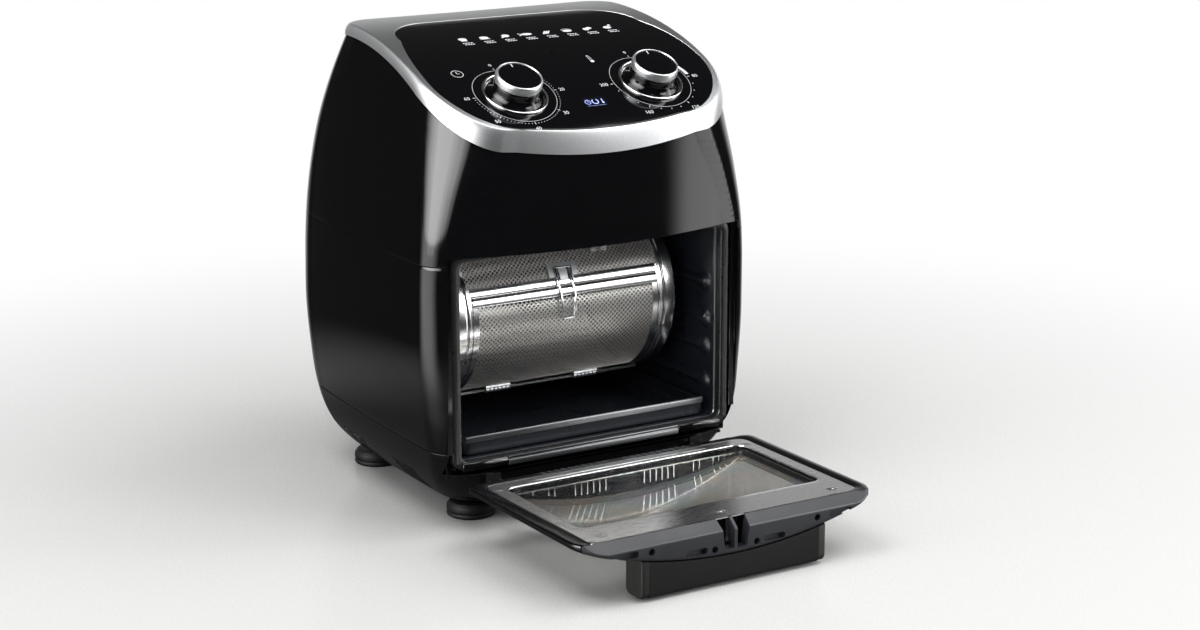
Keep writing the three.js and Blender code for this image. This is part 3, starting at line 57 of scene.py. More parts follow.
camera = bpy.data.objects.new("camera", bpy.data.cameras.new("camera"))
scene.collection.objects.link(camera)
camera.location = EYE
camera.rotation_euler = (math.radians(90 - DOWN), 0, math.radians(-RIGHT))
camera.data.sensor_width = SENSOR
camera.data.lens = LENS
camera.data.clip_end = 2 * ROOM
scene.camera = camera

# Ways from the oven to what its mirrors see: the white backdrop behind it, and a bright panel at either side
BACKDROP = (0.527, 0.85, 0)
BACKDROP_EDGE = (0.6, 0.88)  # cosines of the way between which the backdrop fades in
LEFT_GLOW, RIGHT_GLOW = (-0.96, -0.06, 0.27), (0.84, -0.47, 0.27)


def glossy_or_clear(nodes, links):
    """The camera rays' share, and a share that is 1 on mirror rays and on rays through glass."""
    path = nodes.new("ShaderNodeLightPath")
    both = nodes.new("ShaderNodeMath")
    both.operation = "MAXIMUM"
    links.new(path.outputs["Is Glossy Ray"], both.inputs[0])
    links.new(path.outputs["Is Transmission Ray"], both.inputs[1])
    return path.outputs["Is Camera Ray"], both.outputs[0]


def ramp(nodes, links, value, low, high, first, second):
    """A smooth step of value from first at low to second at high."""
    node = nodes.new("ShaderNodeMapRange")
    node.interpolation_type = "SMOOTHSTEP"
    for key, number in (("From Min", low), ("From Max", high), ("To Min", first), ("To Max", second)):
        node.inputs[key].default_value = number
    links.new(value, node.inputs["Value"])
    return node.outputs[0]


def toward(nodes, links, source, way):
    """How far source points along way: their dot product."""
    node = nodes.new("ShaderNodeVectorMath")
    node.operation = "DOT_PRODUCT"
    links.new(source, node.inputs[0])
    node.inputs[1].default_value = way
    return node.outputs["Value"]


def blend(nodes, links, fac, first, second):
    """first where fac is 0, second where it is 1; each a socket or a number."""
    node = nodes.new("ShaderNodeMix")
    for key, value in ((0, fac), (2, first), (3, second)):
        if isinstance(value, (int, float)):
            node.inputs[key].default_value = value
        else:
            links.new(value, node.inputs[key])
    return node.outputs[0]


def studio():
    """White to the camera. Mirrors see a low white backdrop, a bright panel at either side, and else a dark room."""
    world = bpy.data.worlds.new("studio")
    scene.world = world
    world.use_nodes = True
    nodes, links = world.node_tree.nodes, world.node_tree.links
    nodes.clear()
    out = nodes.new("ShaderNodeOutputWorld")
    back = nodes.new("ShaderNodeBackground")
    camera_ray, mirror_ray = glossy_or_clear(nodes, links)
    way = nodes.new("ShaderNodeTexCoord").outputs["Generated"]
    backdrop = ramp(nodes, links, toward(nodes, links, way, BACKDROP), *BACKDROP_EDGE, 0.05, 1.0)
    level = nodes.new("ShaderNodeSeparateXYZ")
    links.new(way, level.inputs[0])
    backdrop = blend(nodes, links, ramp(nodes, links, level.outputs[2], 0.24, 0.34, 0, 1), backdrop, 0.05)
    for side, low, power in ((LEFT_GLOW, 0.78, 13.0), (RIGHT_GLOW, 0.82, 5.0)):
        extra = ramp(nodes, links, toward(nodes, links, way, side), low, 0.99, 0, power)
        total = nodes.new("ShaderNodeMath")
        links.new(backdrop, total.inputs[0])
        links.new(extra, total.inputs[1])
        backdrop = total.outputs[0]
    strength = blend(nodes, links, mirror_ray, 0.3, backdrop)
    strength = blend(nodes, links, camera_ray, strength, 1.0)
    back.inputs["Color"].default_value = (1, 1, 1, 1)
    links.new(strength, back.inputs["Strength"])
    links.new(back.outputs[0], out.inputs["Surface"])


studio()


def area_light(name, place, aim, size, power):
    """A soft rectangular lamp at place, facing aim, in metres and watts."""
    lamp = bpy.data.lights.new(name, "AREA")
    lamp.shape = "RECTANGLE"
    lamp.size, lamp.size_y = size
    lamp.energy = power
    obj = bpy.data.objects.new(name, lamp)
    scene.collection.objects.link(obj)
    obj.location = place
    obj.rotation_euler = (Vector(aim) - Vector(place)).to_track_quat("-Z", "Y").to_euler()


area_light("strip_left", (-2.0, -0.1, 0.85), (0, 0, 0.3), (0.9, 1.5), 8)
area_light("wash_left", (-1.75, -1.2, 0.95), (0, 0, 0.3), (0.5, 1.5), 6)
area_light("strip_right", (1.75, -0.97, 0.75), (0, 0, 0.3), (0.3, 1.5), 8)
area_light("top_front", (0.55, -0.7, 1.8), (0, -0.05, 0.3), (1.9, 0.9), 22)
area_light("top_left", (-0.9, -0.2, 2.0), (0, 0, 0.2), (1.1, 1.1), 19)
area_light("mouth_fill", (1.12, -1.74, 0.93), (0.05, 0.1, 0.16), (0.7, 0.6), 11)

# ---------------------------------------------------------------- materials


class Look:
    """A node material, built up by small steps."""

    def __init__(self, name, colour, roughness, metallic=0.0, **sockets):
        self.material = bpy.data.materials.new(name)
        self.material.use_nodes = True
        self.nodes, self.links = self.material.node_tree.nodes, self.material.node_tree.links
        self.shader = self.nodes["Principled BSDF"]
        self.shader.inputs["Base Color"].default_value = (*colour, 1)
        self.shader.inputs["Roughness"].default_value = roughness
        self.shader.inputs["Metallic"].default_value = metallic
        for key, value in sockets.items():
            self.shader.inputs[key.replace("_", " ")].default_value = value
        self.coords = self.nodes.new("ShaderNodeTexCoord").outputs["Object"]

    def new(self, kind, **values):
        """A node with its settings."""
        node = self.nodes.new(kind)
        for key, value in values.items():
            setattr(node, key, value)
        return node

    def noise(self, scale, stretch=(1, 1, 1), detail=3.0):
        """A noise over the object's own coordinates, finer along the axes with a large stretch."""
        mapping = self.new("ShaderNodeMapping")
        mapping.inputs["Scale"].default_value = stretch
        self.links.new(self.coords, mapping.inputs["Vector"])
        node = self.new("ShaderNodeTexNoise")
        node.inputs["Scale"].default_value = scale
        node.inputs["Detail"].default_value = detail
        self.links.new(mapping.outputs[0], node.inputs["Vector"])
        return node.outputs["Fac"]

    def spread(self, value, low, high):
        """A noise's usual range, 0.3 to 0.7, spread over low to high."""
        node = self.new("ShaderNodeMapRange")
        for key, number in (("From Min", 0.3), ("From Max", 0.7), ("To Min", low), ("To Max", high)):
            node.inputs[key].default_value = number
        self.links.new(value, node.inputs["Value"])
        return node.outputs[0]

    def rough(self, value, low, high):
        """Roughness between low and high."""
        self.links.new(self.spread(value, low, high), self.shader.inputs["Roughness"])
        return self

    def tint(self, value, first, second):
        """Base colour between first and second."""
        node = self.new("ShaderNodeMix", data_type="RGBA")
        node.inputs[6].default_value = (*first, 1)
        node.inputs[7].default_value = (*second, 1)
        self.links.new(self.spread(value, 0, 1), node.inputs[0])
        self.links.new(node.outputs[2], self.shader.inputs["Base Color"])
        return self

    def bump(self, value, strength, distance):
        """Relief of distance in metres at full strength."""
        node = self.new("ShaderNodeBump")
        node.inputs["Strength"].default_value = strength
        node.inputs["Distance"].default_value = distance
        self.links.new(value, node.inputs["Height"])
        self.links.new(node.outputs[0], self.shader.inputs["Normal"])
        return self


def gloss(name, colour, low, high, **sockets):
    """Polished plastic, with faint cloudiness and orange peel."""
    look = Look(name, colour, low, **sockets)
    speck = look.noise(40)
    look.rough(speck, low, high).tint(look.noise(3), colour, tuple(c * 1.25 for c in colour))
    return look.bump(look.noise(220), 0.01, 0.0001).material


def satin(name, colour, low, high, grain=900, strength=0.25, metallic=0.0, **sockets):
    """Moulded plastic, rubber or paint with a fine grain."""
    look = Look(name, colour, low, metallic, **sockets)
    look.rough(look.noise(60), low, high).tint(look.noise(8), colour, tuple(c * 1.2 for c in colour))
    return look.bump(look.noise(grain), strength, 0.00005).material


def metal(name, colour, low, high, stretch=(1, 60, 60), strength=0.15, grain=25, **sockets):
    """Metal whose roughness, colour and relief follow one streak, finer along the axes with a large stretch."""
    look = Look(name, colour, low, 1.0, **sockets)
    streak = look.noise(grain, stretch, 4)
    look.rough(streak, low, high).tint(streak, colour, tuple(c * 0.86 for c in colour))
    return look.bump(streak, strength, 0.00004).material


LOOKS = {
    "gloss_black": gloss("gloss_black", (0.0025, 0.0025, 0.003), 0.07, 0.11, Specular_IOR_Level=0.35),
    "base_black": gloss("base_black", (0.003, 0.003, 0.0035), 0.12, 0.17, Specular_IOR_Level=0.3),
    "foot_rubber": satin("foot_rubber", (0.005, 0.005, 0.005), 0.5, 0.62, Specular_IOR_Level=0.15),
    "silver_trim": metal("silver_trim", (0.66, 0.67, 0.68), 0.36, 0.4, (1, 1, 1), 0.02, 900),
    "panel_black": gloss("panel_black", (0.002, 0.002, 0.0025), 0.05, 0.08, Specular_IOR_Level=0.3),
    "display_glass": gloss("display_glass", (0.004, 0.004, 0.008), 0.03, 0.05),
    "bright_trim": metal("bright_trim", (0.86, 0.86, 0.87), 0.16, 0.2, (1, 1, 1), 0.01, 300),
    "switch_body": satin("switch_body", (0.03, 0.03, 0.03), 0.5, 0.6),
    "flange_black": satin("flange_black", (0.012, 0.012, 0.013), 0.25, 0.35),
    "seal_rubber": satin("seal_rubber", (0.012, 0.012, 0.012), 0.5, 0.65),
    "brushed_steel": metal("brushed_steel", (0.78, 0.78, 0.78), 0.24, 0.3, (1, 90, 90), 0.05, 60),
    "coated_steel": satin("coated_steel", (0.008, 0.0085, 0.011), 0.2, 0.28, 500, 0.04),
    "satin_grey": satin("satin_grey", (0.02, 0.021, 0.025), 0.34, 0.44, 1200, 0.3),
}
print_look = satin("print_white", (0.62, 0.63, 0.65), 0.5, 0.55, 900, 0.05)
glow = Look("display_glow", (0.1, 0.12, 0.2), 0.3, Emission_Color=(0.35, 0.45, 1, 1), Emission_Strength=1.0)
glow.tint(glow.noise(400), (0.2, 0.25, 0.5), (0.3, 0.35, 0.6))


def glass(name, colour, clear, rough=0.02):
    """Thin glass of which the share clear is see-through."""
    look = Look(name, colour, rough, Alpha=1 - clear, IOR=1.5)
    look.rough(look.noise(15), rough, rough * 1.6)
    return look.material


LOOKS["door_glass"] = glass("door_glass", (0.02, 0.022, 0.024), 0.86)
LOOKS["lamp_glass"] = glass("lamp_glass", (0.8, 0.78, 0.7), 0.3, 0.1)


def coated_pane():
    """The outer pane's mirror coating: pale, with long pastel patches of rose, sand and green."""
    look = Look("coated_pane", (0.6, 0.62, 0.6), 0.05, 0.6, Alpha=0.5)
    bands = look.new("ShaderNodeValToRGB")
    stops = ((0.3, (0.50, 0.56, 0.55)), (0.42, (0.62, 0.55, 0.50)), (0.5, (0.70, 0.62, 0.52)),
             (0.58, (0.52, 0.62, 0.57)), (0.7, (0.60, 0.55, 0.62)))
    while len(bands.color_ramp.elements) < len(stops):
        bands.color_ramp.elements.new(0.5)
    for element, (at, colour) in zip(bands.color_ramp.elements, stops):
        element.position = at
        element.color = (*colour, 1)
    look.links.new(look.noise(12, (1, 2.5, 1), 2), bands.inputs["Fac"])
    look.links.new(bands.outputs["Color"], look.shader.inputs["Base Color"])
    look.rough(look.noise(9, (1, 3, 1)), 0.03, 0.1)
    return look.material


pane_coat = coated_pane()
slot_of = {part["node"]: part["material_slot"] for part in frame["record"]["subparts"]}
body_of = {node: body for body, nodes in frame["record"]["behaviour"]["bodies"].items() for node in nodes}


def paint(obj, look):
    """Gives an object one material."""
    obj.data.materials.clear()
    obj.data.materials.append(look)


for name, obj in frame["nodes"].items():
    paint(obj, LOOKS[slot_of[name]])

# ---------------------------------------------------------------- making pieces


def placed(points):
    """Points in millimetres from the mouth plane, as metres in the frame."""
    return (np.asarray(points, float).reshape(-1, 3) + [0, SHIFT, 0]) * MM


def piece(name, points, faces, like, look=None, instead=False, angle=35):
    """Points from the mouth plane, faces as index lists; with the slot and body of the node like, or instead of it."""
    xyz = placed(points)
    mesh = bpy.data.meshes.new(name)
    mesh.from_pydata(xyz.tolist(), [], [list(map(int, f)) for f in faces])
    mesh.validate()
    mesh.update()
    mesh.shade_smooth()
    mesh.set_sharp_from_angle(angle=math.radians(angle))
    obj = bpy.data.objects.new(name, mesh)
    scene.collection.objects.link(obj)
    paint(obj, look or LOOKS[slot_of[like]])
    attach(obj, body_of[like])
    if instead:
        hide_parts(like)
    return obj


def grid_faces(rows, columns, around=False, flip=False, skip=None):
    """Quads of a rows x columns grid; around closes each row on itself, and skip marks quads left out."""
    r, c = np.meshgrid(np.arange(rows - 1), np.arange(columns if around else columns - 1), indexing="ij")
    n = (c + 1) % columns
    low, high = r * columns, (r + 1) * columns
    quads = np.stack([low + c, low + n, high + n, high + c], -1).reshape(-1, 4)
    if skip is not None:
        quads = quads[~skip[r, c].reshape(-1)]
    if flip:
        quads = quads[:, ::-1]
    return quads.tolist()


def ends(rows, count, flip=False):
    """Faces that close the first and the last of rows closed rows of count points."""
    first, last = list(range(count))[::-1], list(range((rows - 1) * count, rows * count))
    return [first[::-1], last[::-1]] if flip else [first, last]


def capped(rows, flip=False):
    """A solid from rows of closed rings, shut at both ends."""
    rows = np.asarray(rows)
    count, around = rows.shape[:2]
    return rows.reshape(-1, 3), grid_faces(count, around, around=True, flip=flip) + ends(count, around, flip)


def upended(points, faces):
    """A solid with its second and third coordinates exchanged, and its faces turned to suit."""
    return points[:, [0, 2, 1]], [face[::-1] for face in faces]


def merge(*parts):
    """Several (points, faces) made into one."""
    points, faces, base = [], [], 0
    for p, f in parts:
        p = np.asarray(p, float).reshape(-1, 3)
        points.append(p)
        faces += [[i + base for i in face] for face in f]
        base += len(p)
    return np.concatenate(points), faces


def turned(profile, centre, axis, up, count=64):
    """A (radius, height) profile turned about an axis: P(k, a) = centre + r_k (cos a U + sin a V) + h_k axis."""
    axis, up = np.asarray(axis, float), np.asarray(up, float)
    side = np.cross(axis, up)
    a = np.linspace(0, 2 * np.pi, count, endpoint=False)
    r, h = np.asarray(profile, float).T
    ring = np.cos(a)[:, None] * up + np.sin(a)[:, None] * side
    points = np.asarray(centre, float) + r[:, None, None] * ring[None] + h[:, None, None] * axis
    return points.reshape(-1, 3), grid_faces(len(r), count, around=True)


def smooth_profile(points, radius, steps=4):
    """A polyline whose inner corners are rounded by quadratic arcs of about that radius."""
    points = [np.asarray(p, float) for p in points]
    line = [points[0]]
    for a, b, c in zip(points, points[1:], points[2:]):
        ab, cb = a - b, c - b
        la, lc = np.linalg.norm(ab), np.linalg.norm(cb)
        d = min(radius, la * 0.49, lc * 0.49)
        p, q = b + ab / la * d, b + cb / lc * d
        for t in np.linspace(0, 1, steps + 1):
            line.append((1 - t) ** 2 * p + 2 * t * (1 - t) * b + t * t * q)
    line.append(points[-1])
    return np.array(line)


def box(x0, x1, y0, y1, z0, z1, edge=0.5):
    """A block with chamfered edges: a stack of four rounded-off rings."""
    rings = []
    for z, inset in ((z0, edge), (z0 + edge, 0), (z1 - edge, 0), (z1, edge)):
        a, b, c, d = x0 + inset, x1 - inset, y0 + inset, y1 - inset
        e = edge
        rings.append([(a + e, c, z), (b - e, c, z), (b, c + e, z), (b, d - e, z),
                      (b - e, d, z), (a + e, d, z), (a, d - e, z), (a, c + e, z)])
    return np.array(rings).reshape(-1, 3), grid_faces(4, 8, around=True) + ends(4, 8)


# ---------------------------------------------------------------- casing surface

# Half width, back, front, the front's bow, the corners' radii and the sides' bow, at the casing's widest
HALF, BACK, FRONT, BOW, FRONT_R, REAR_R, SIDE_BOW = 166, 308, 23, 455, 28, 50, 2400
BOTTOM, SEAM_LOW, SEAM_UP, CROWN = 14, 76.5, 243.5, 427
LIP = 251  # height of the hood's front edge
# How far the rear cover's seam lies before the back, and half its gap as a share of the outline
REAR_SEAM, SEAM_GAP = 36, 0.0006
# Half the room for the door and for the flange, the jamb's depth between them, and the flange's depth
DOOR_ROOM, FLANGE_ROOM, JAMB, FLANGE_DEEP = 149.2, 144, 4.3, 14
SIDE_TOP, REAR_TOP = 380, 410  # about where the rim crosses the sides and the back

# Rows of the casing's profile: height as a share of a storey, then shares of half width, back, front, rear radius
# and front radius. The storeys lie below, between and above the two seams.
STOREYS = (
    (0, SEAM_LOW, [[0.184, 0.675, 0.851, -1.3, 1, 1], [0.3265, 0.783, 0.896, -0.6, 1, 1],
                   [0.586, 0.886, 0.948, 0.22, 1, 1], [0.9935, 0.949, 0.984, 0.83, 1, 1]]),
    (SEAM_LOW, SEAM_UP, [[0.26, 0.982, 0.997, 0.96, 1, 1], [0.56, 1, 1, 1, 1, 1]]),
    (SEAM_UP, CROWN, [[0.0087, 0.994, 0.984, 1, 1, 1.06], [0.3065, 0.961, 0.942, 1.02, 0.84, 1.66],
                      [0.581, 0.916, 0.87, 1.04, 0.64, 2.4], [0.9185, 0.858, 0.721, 1.04, 0.36, 3],
                      [1.093, 0.825, 0.62, 1.04, 0.3, 3.2]]))
ROWS = np.array([[low + (high - low) * row[0], *row[1:]] for low, high, rows in STOREYS for row in rows])


def shares(z, column):
    """Hermite curve through the rows of the profile, with the neighbours' slopes."""
    s, v = ROWS[:, 0], ROWS[:, column]
    x = np.clip(np.asarray(z, float), s[0], s[-1])
    k = np.clip(np.searchsorted(s, x) - 1, 0, len(s) - 2)
    low, high = np.maximum(np.arange(len(s)) - 1, 0), np.minimum(np.arange(len(s)) + 1, len(s) - 1)
    slope = (v[high] - v[low]) / (s[high] - s[low])
    span = s[k + 1] - s[k]
    t = (x - s[k]) / span
    m0, m1, rise = slope[k] * span, slope[k + 1] * span, v[k + 1] - v[k]
    return v[k] + t * m0 + t * t * (3 * rise - 2 * m0 - m1) + t ** 3 * (m0 + m1 - 2 * rise)


def sizes(z, inset=0.0):
    """Half width, front, back, bow, front radius, rear radius and side bow at height z, drawn in by inset."""
    return (HALF * np.minimum(shares(z, 1), 1) - inset, -FRONT * shares(z, 3) + inset, BACK * shares(z, 2) - inset,
            BOW - inset, FRONT_R * shares(z, 5) - inset, np.maximum(REAR_R * shares(z, 4) - inset, 1), SIDE_BOW)


# Shares of the outline at which its bowed front, front corner, side and rear corner end
T_BOW, T_CORNER, T_SIDE, T_REAR = 0.35, 0.45, 0.8, 0.9


def outline(t, half, front, back, bow, corner, rear, side):
    """(x, y) of the right half of an outline: t = 0 at the middle of the front, 1 at the middle of the back."""
    edge = half - corner
    corner_y = front + edge ** 2 / (2 * bow) + corner
    rear_y = back - rear
    rear_x = half - (rear_y - corner_y) ** 2 / (2 * side) - rear
    start = np.arctan(edge / bow)
    u = [np.clip((t - a) / (b - a), 0, 1) for a, b in
         ((0, T_BOW), (T_BOW, T_CORNER), (T_CORNER, T_SIDE), (T_SIDE, T_REAR), (T_REAR, 1))]
    a = start + (np.pi / 2 - start) * u[1]
    y_side = corner_y + (rear_y - corner_y) * u[2]
    b = u[3] * np.pi / 2
    x = np.select([t <= T_BOW, t <= T_CORNER, t <= T_SIDE, t <= T_REAR],
                  [edge * u[0], edge + corner * np.sin(a), half - (y_side - corner_y) ** 2 / (2 * side),
                   rear_x + rear * np.cos(b)], rear_x * (1 - u[4]))
    y = np.select([t <= T_BOW, t <= T_CORNER, t <= T_SIDE, t <= T_REAR],
                  [front + (edge * u[0]) ** 2 / (2 * bow), corner_y - corner * np.cos(a), y_side,
                   rear_y + rear * np.sin(b)], back + 0 * u[4])
    return x, y


def casing(z, t, inset=0.0):
    """Points of the casing at heights z and outline shares t, which broadcast; a negative t is the left side."""
    x, y = outline(np.abs(t), *[np.asarray(v, float) for v in sizes(z, inset)])
    return np.stack(np.broadcast_arrays(np.sign(t) * x, y, z), -1)


def t_at_x(z, x0):
    """The outline share where the front corner passes x0, or the corner's end where the casing is narrower."""
    half, _, _, bow, corner, _, _ = sizes(z)
    edge = half - corner
    start = np.arctan(edge / bow)
    a = np.arcsin(np.clip((x0 - edge) / corner, -1, 1))
    in_corner = T_BOW + (T_CORNER - T_BOW) * (a - start) / (np.pi / 2 - start)
    return np.where(x0 <= edge, T_BOW * x0 / edge, np.clip(in_corner, T_BOW, T_CORNER))


def t_at_rear(z):
    """The outline share where the side passes the rear cover's seam."""
    half, front, back, bow, corner, rear, _ = sizes(z)
    corner_y = front + (half - corner) ** 2 / (2 * bow) + corner
    rear_y = back - rear
    seam = back - REAR_SEAM
    a = np.arcsin(np.clip((seam - rear_y) / rear, 0, 1))
    on_side = T_CORNER + (T_SIDE - T_CORNER) * (seam - corner_y) / (rear_y - corner_y)
    return np.where(seam > rear_y, T_SIDE + (T_REAR - T_SIDE) * a / (np.pi / 2), on_side)


# The panel's tilt at the dials, the dials' distance from the middle and their depth behind the mouth plane
TILT, DIAL, DIAL_Y = math.radians(27), 69.0, 23.3
# The panel lies on one lying cylinder, and the rim's outer edge on a smaller and lower one
TOP_R, RIM_R, RIM_AHEAD, RIM_DROP = 410, 345, 9.6, 11.1
TOP_Y, TOP_Z = DIAL_Y + TOP_R * math.sin(TILT), CROWN - TOP_R
RIM_Y, RIM_Z = TOP_Y - RIM_AHEAD, CROWN - RIM_DROP - RIM_R


def top_at(y, drop=0.0):
    """Height of the panel's cylinder at y, shrunk by drop."""
    return TOP_Z + np.sqrt((TOP_R - drop) ** 2 - (y - TOP_Y) ** 2)


def rim_at(y):
    """Height of the rim's cylinder at y."""
    return RIM_Z + np.sqrt(RIM_R ** 2 - np.clip(y - RIM_Y, -300, 300) ** 2)


def rim_height(t, inset=0.0):
    """The height where the casing's outline share t meets the rim's cylinder: z = rim(y(z, t)) by iteration."""
    z = np.full(np.shape(t), float(SIDE_TOP))
    for _ in range(30):
        z = 0.5 * z + 0.5 * rim_at(outline(np.abs(t), *sizes(z, inset))[1])
    return z


def spaced(low, high, count):
    """Shares from low to high, arrays allowed, as a new last axis."""
    s = np.linspace(0, 1, count)
    low, high = np.asarray(low, float)[..., None], np.asarray(high, float)[..., None]
    return low + (high - low) * s


def edge_rows(low, high, count, lip=1.6, soft=0.5):
    """(height, inset) rows from low to high with both edges rounded inwards."""
    rows = [(low, lip), (low, soft), (low + soft * 0.3, soft * 0.3), (low + soft, 0)]
    rows += [(z, 0) for z in np.linspace(low + soft, high - soft, count)[1:-1]]
    rows += [(high - soft, 0), (high - soft * 0.3, soft * 0.3), (high, soft), (high, lip)]
    return np.array(rows)


def side_shell(name, side):
    """P(z, t): the casing from the mouth's jamb round the front corner to the rear seam, with its stepped jamb."""
    rows = edge_rows(SEAM_LOW + 0.3, SEAM_UP, 60)
    z, inset = rows[:, :1], rows[:, 1:]
    t = spaced(t_at_x(z[:, 0], DOOR_ROOM + 0.5), t_at_rear(z[:, 0]) - SEAM_GAP, 110)
    skin = casing(z, t, inset)
    start = skin[:, 0]
    jamb = [np.stack([np.full(len(z), x), np.full(len(z), y) if y is not None else start[:, 1] + d, z[:, 0]], -1)
            for x, y, d in ((FLANGE_ROOM, FLANGE_DEEP, 0), (FLANGE_ROOM, JAMB + 0.4, 0), (FLANGE_ROOM + 0.4, JAMB, 0),
                            (DOOR_ROOM - 0.2, JAMB, 0), (DOOR_ROOM, JAMB - 0.2, 0), (DOOR_ROOM, None, 1.0),
                            (DOOR_ROOM + 0.12, None, 0.25))]
    points = np.concatenate([np.stack(jamb, 1), skin], 1)
    last = skin[:, -1].copy()
    last[:, 0] -= 1.5
    points = np.concatenate([points, last[:, None]], 1)
    points[..., 0] *= side
    return piece(name, points, grid_faces(*points.shape[:2], flip=side < 0), f"{name}_shell",
                 instead=True)


side_shell("left_side", -1)
side_shell("right_side", 1)


def hood():
    """P(s, t): the casing above the upper seam up to the rim, its front edge higher than its sides' edges."""
    low = edge_rows(SEAM_UP + 0.3, SEAM_UP + 3, 3)[:4]
    heights = list(low[:, 0]) + list(np.linspace(SEAM_UP + 2, LIP, 6)[:-1])
    insets = list(low[:, 1]) + [0] * 5
    upper = np.linspace(0, 1, 60) ** 0.9
    side_n, front_n = 100, 161

    def across(z_side, z_rear):
        """Outline shares of a row from the left rear seam round the front to the right one."""
        s = spaced(t_at_x(np.array([z_side]), DOOR_ROOM + 0.5), t_at_rear(np.array([z_rear])) - SEAM_GAP, side_n)[0]
        return np.concatenate([-s[::-1], np.linspace(-s[0], s[0], front_n)[1:-1], s])

    rows = [casing(z, across(z, z), inset) for z, inset in zip(heights, insets)]
    for u in upper:
        # a row climbs from the sides to the back, so its ends are found at two heights
        t = across(*(LIP + u * (top - LIP) for top in (SIDE_TOP, REAR_TOP)))
        rows.append(casing(LIP + u * (rim_height(t) - LIP), t))
    points = np.array(rows)
    skip = np.zeros((len(points) - 1, points.shape[1] - 1), bool)
    skip[:len(heights), side_n:side_n + front_n - 3] = True
    skip[:len(heights), side_n - 1] = True
    skip[:len(heights), side_n + front_n - 3] = True
    skin = (points, grid_faces(*points.shape[:2], skip=skip))
    front = points[len(heights), side_n - 1:side_n + front_n - 1]
    lip = np.array([front, front + [0, 0.15, -0.35], front + [0, 0.6, -0.5], front * [1, 0, 1] + [0, 13.5, -0.5]])
    walls = []
    for side in (-1, 1):
        column = points[:len(heights) + 1, side_n - 1 if side < 0 else side_n + front_n - 2]
        jamb = [column, column * [0, 1, 1] + [side * DOOR_ROOM, 0.8, 0]]
        jamb += [column * [0, 0, 1] + [side * x, y, 0]
                 for x, y in ((DOOR_ROOM, JAMB), (FLANGE_ROOM, JAMB), (FLANGE_ROOM, FLANGE_DEEP))]
        walls.append((np.array(jamb), grid_faces(len(jamb), len(column), flip=side > 0)))
    points, faces = merge(skin, (lip, grid_faces(4, len(front))), *walls)
    piece("hood", points, faces, "hood_shell", instead=True)


hood()


def slots(y, z, at, count, pitch, width, low, high, lean, depth):
    """Depth of a row of slanted round-ended slots at (y, z): a smooth step of the distance to each slot's axis."""
    middle = (low + high) / 2
    deep = np.zeros(np.shape(y))
    for k in range(count):
        centre = at + k * pitch
        along = (z - middle) * math.cos(lean) - (y - centre) * math.sin(lean)
        across = (z - middle) * math.sin(lean) + (y - centre) * math.cos(lean)
        reach = (high - low) / 2 / math.cos(lean) - width / 2
        d = np.hypot(across, np.maximum(np.abs(along) - reach, 0)) - width / 2
        deep = np.maximum(deep, depth * np.clip(-d / 0.5, 0, 1))
    return deep


def base():
    """P(z, t): the base's skin, cut back to the wall behind the door, with slanted vents pressed in at the sides."""
    rows = edge_rows(BOTTOM, SEAM_LOW, 110, lip=3, soft=1.2)
    z, inset = rows[:, :1], rows[:, 1:]
    t0 = t_at_x(z[:, 0], DOOR_ROOM)
    front = spaced(0 * t0, t0, 60)[:, :-1]
    side = np.concatenate([spaced(t0, 0 * t0 + T_SIDE, 300), spaced(0 * t0 + T_SIDE, 0 * t0 + 1, 50)[:, 1:]], 1)
    chin = casing(z, front, inset)
    chin[..., 1] = np.maximum(chin[..., 1], 2)
    flank = casing(z, side, inset)
    for at in (70, 178):
        flank[..., 0] -= slots(flank[..., 1], flank[..., 2], at, 6, 7.5, 3, 24, 46, -math.radians(35), 2.6)
    half = np.concatenate([chin, flank], 1)
    left = half[:, 1:-1][:, ::-1] * [-1, 1, 1]
    ring = np.concatenate([half, left], 1)
    n = ring.shape[1]
    above = np.array([z[:-1, 0] > 55.5] * n).T
    x = np.abs(ring[:-1, :, 0])
    skip = above & (x < DOOR_ROOM - 0.01) & (ring[:-1, :, 1] < 20)
    skin = (ring, grid_faces(*ring.shape[:2], around=True, skip=skip))
    bottom = (ring[0], [list(range(n))[::-1]])
    # a ledge under the mouth, a block at each hinge, and a short wall at either end of the ledge
    parts = [skin, bottom, box(-134, 134, 2, 4.6, 53, 55.5)]
    parts += [box(x - 6.8, x + 6.8, 2, 16, 30, 54.3) for x in (-106, 106)]
    for s in (-1, 1):
        x0, x1 = sorted((s * 136, s * (FLANGE_ROOM + 1.5)))
        parts.append(box(x0, x1, 14.4, 16.4, 52, SEAM_LOW))
    points, faces = merge(*parts)
    piece("base", points, faces, "base_shell", instead=True)


base()


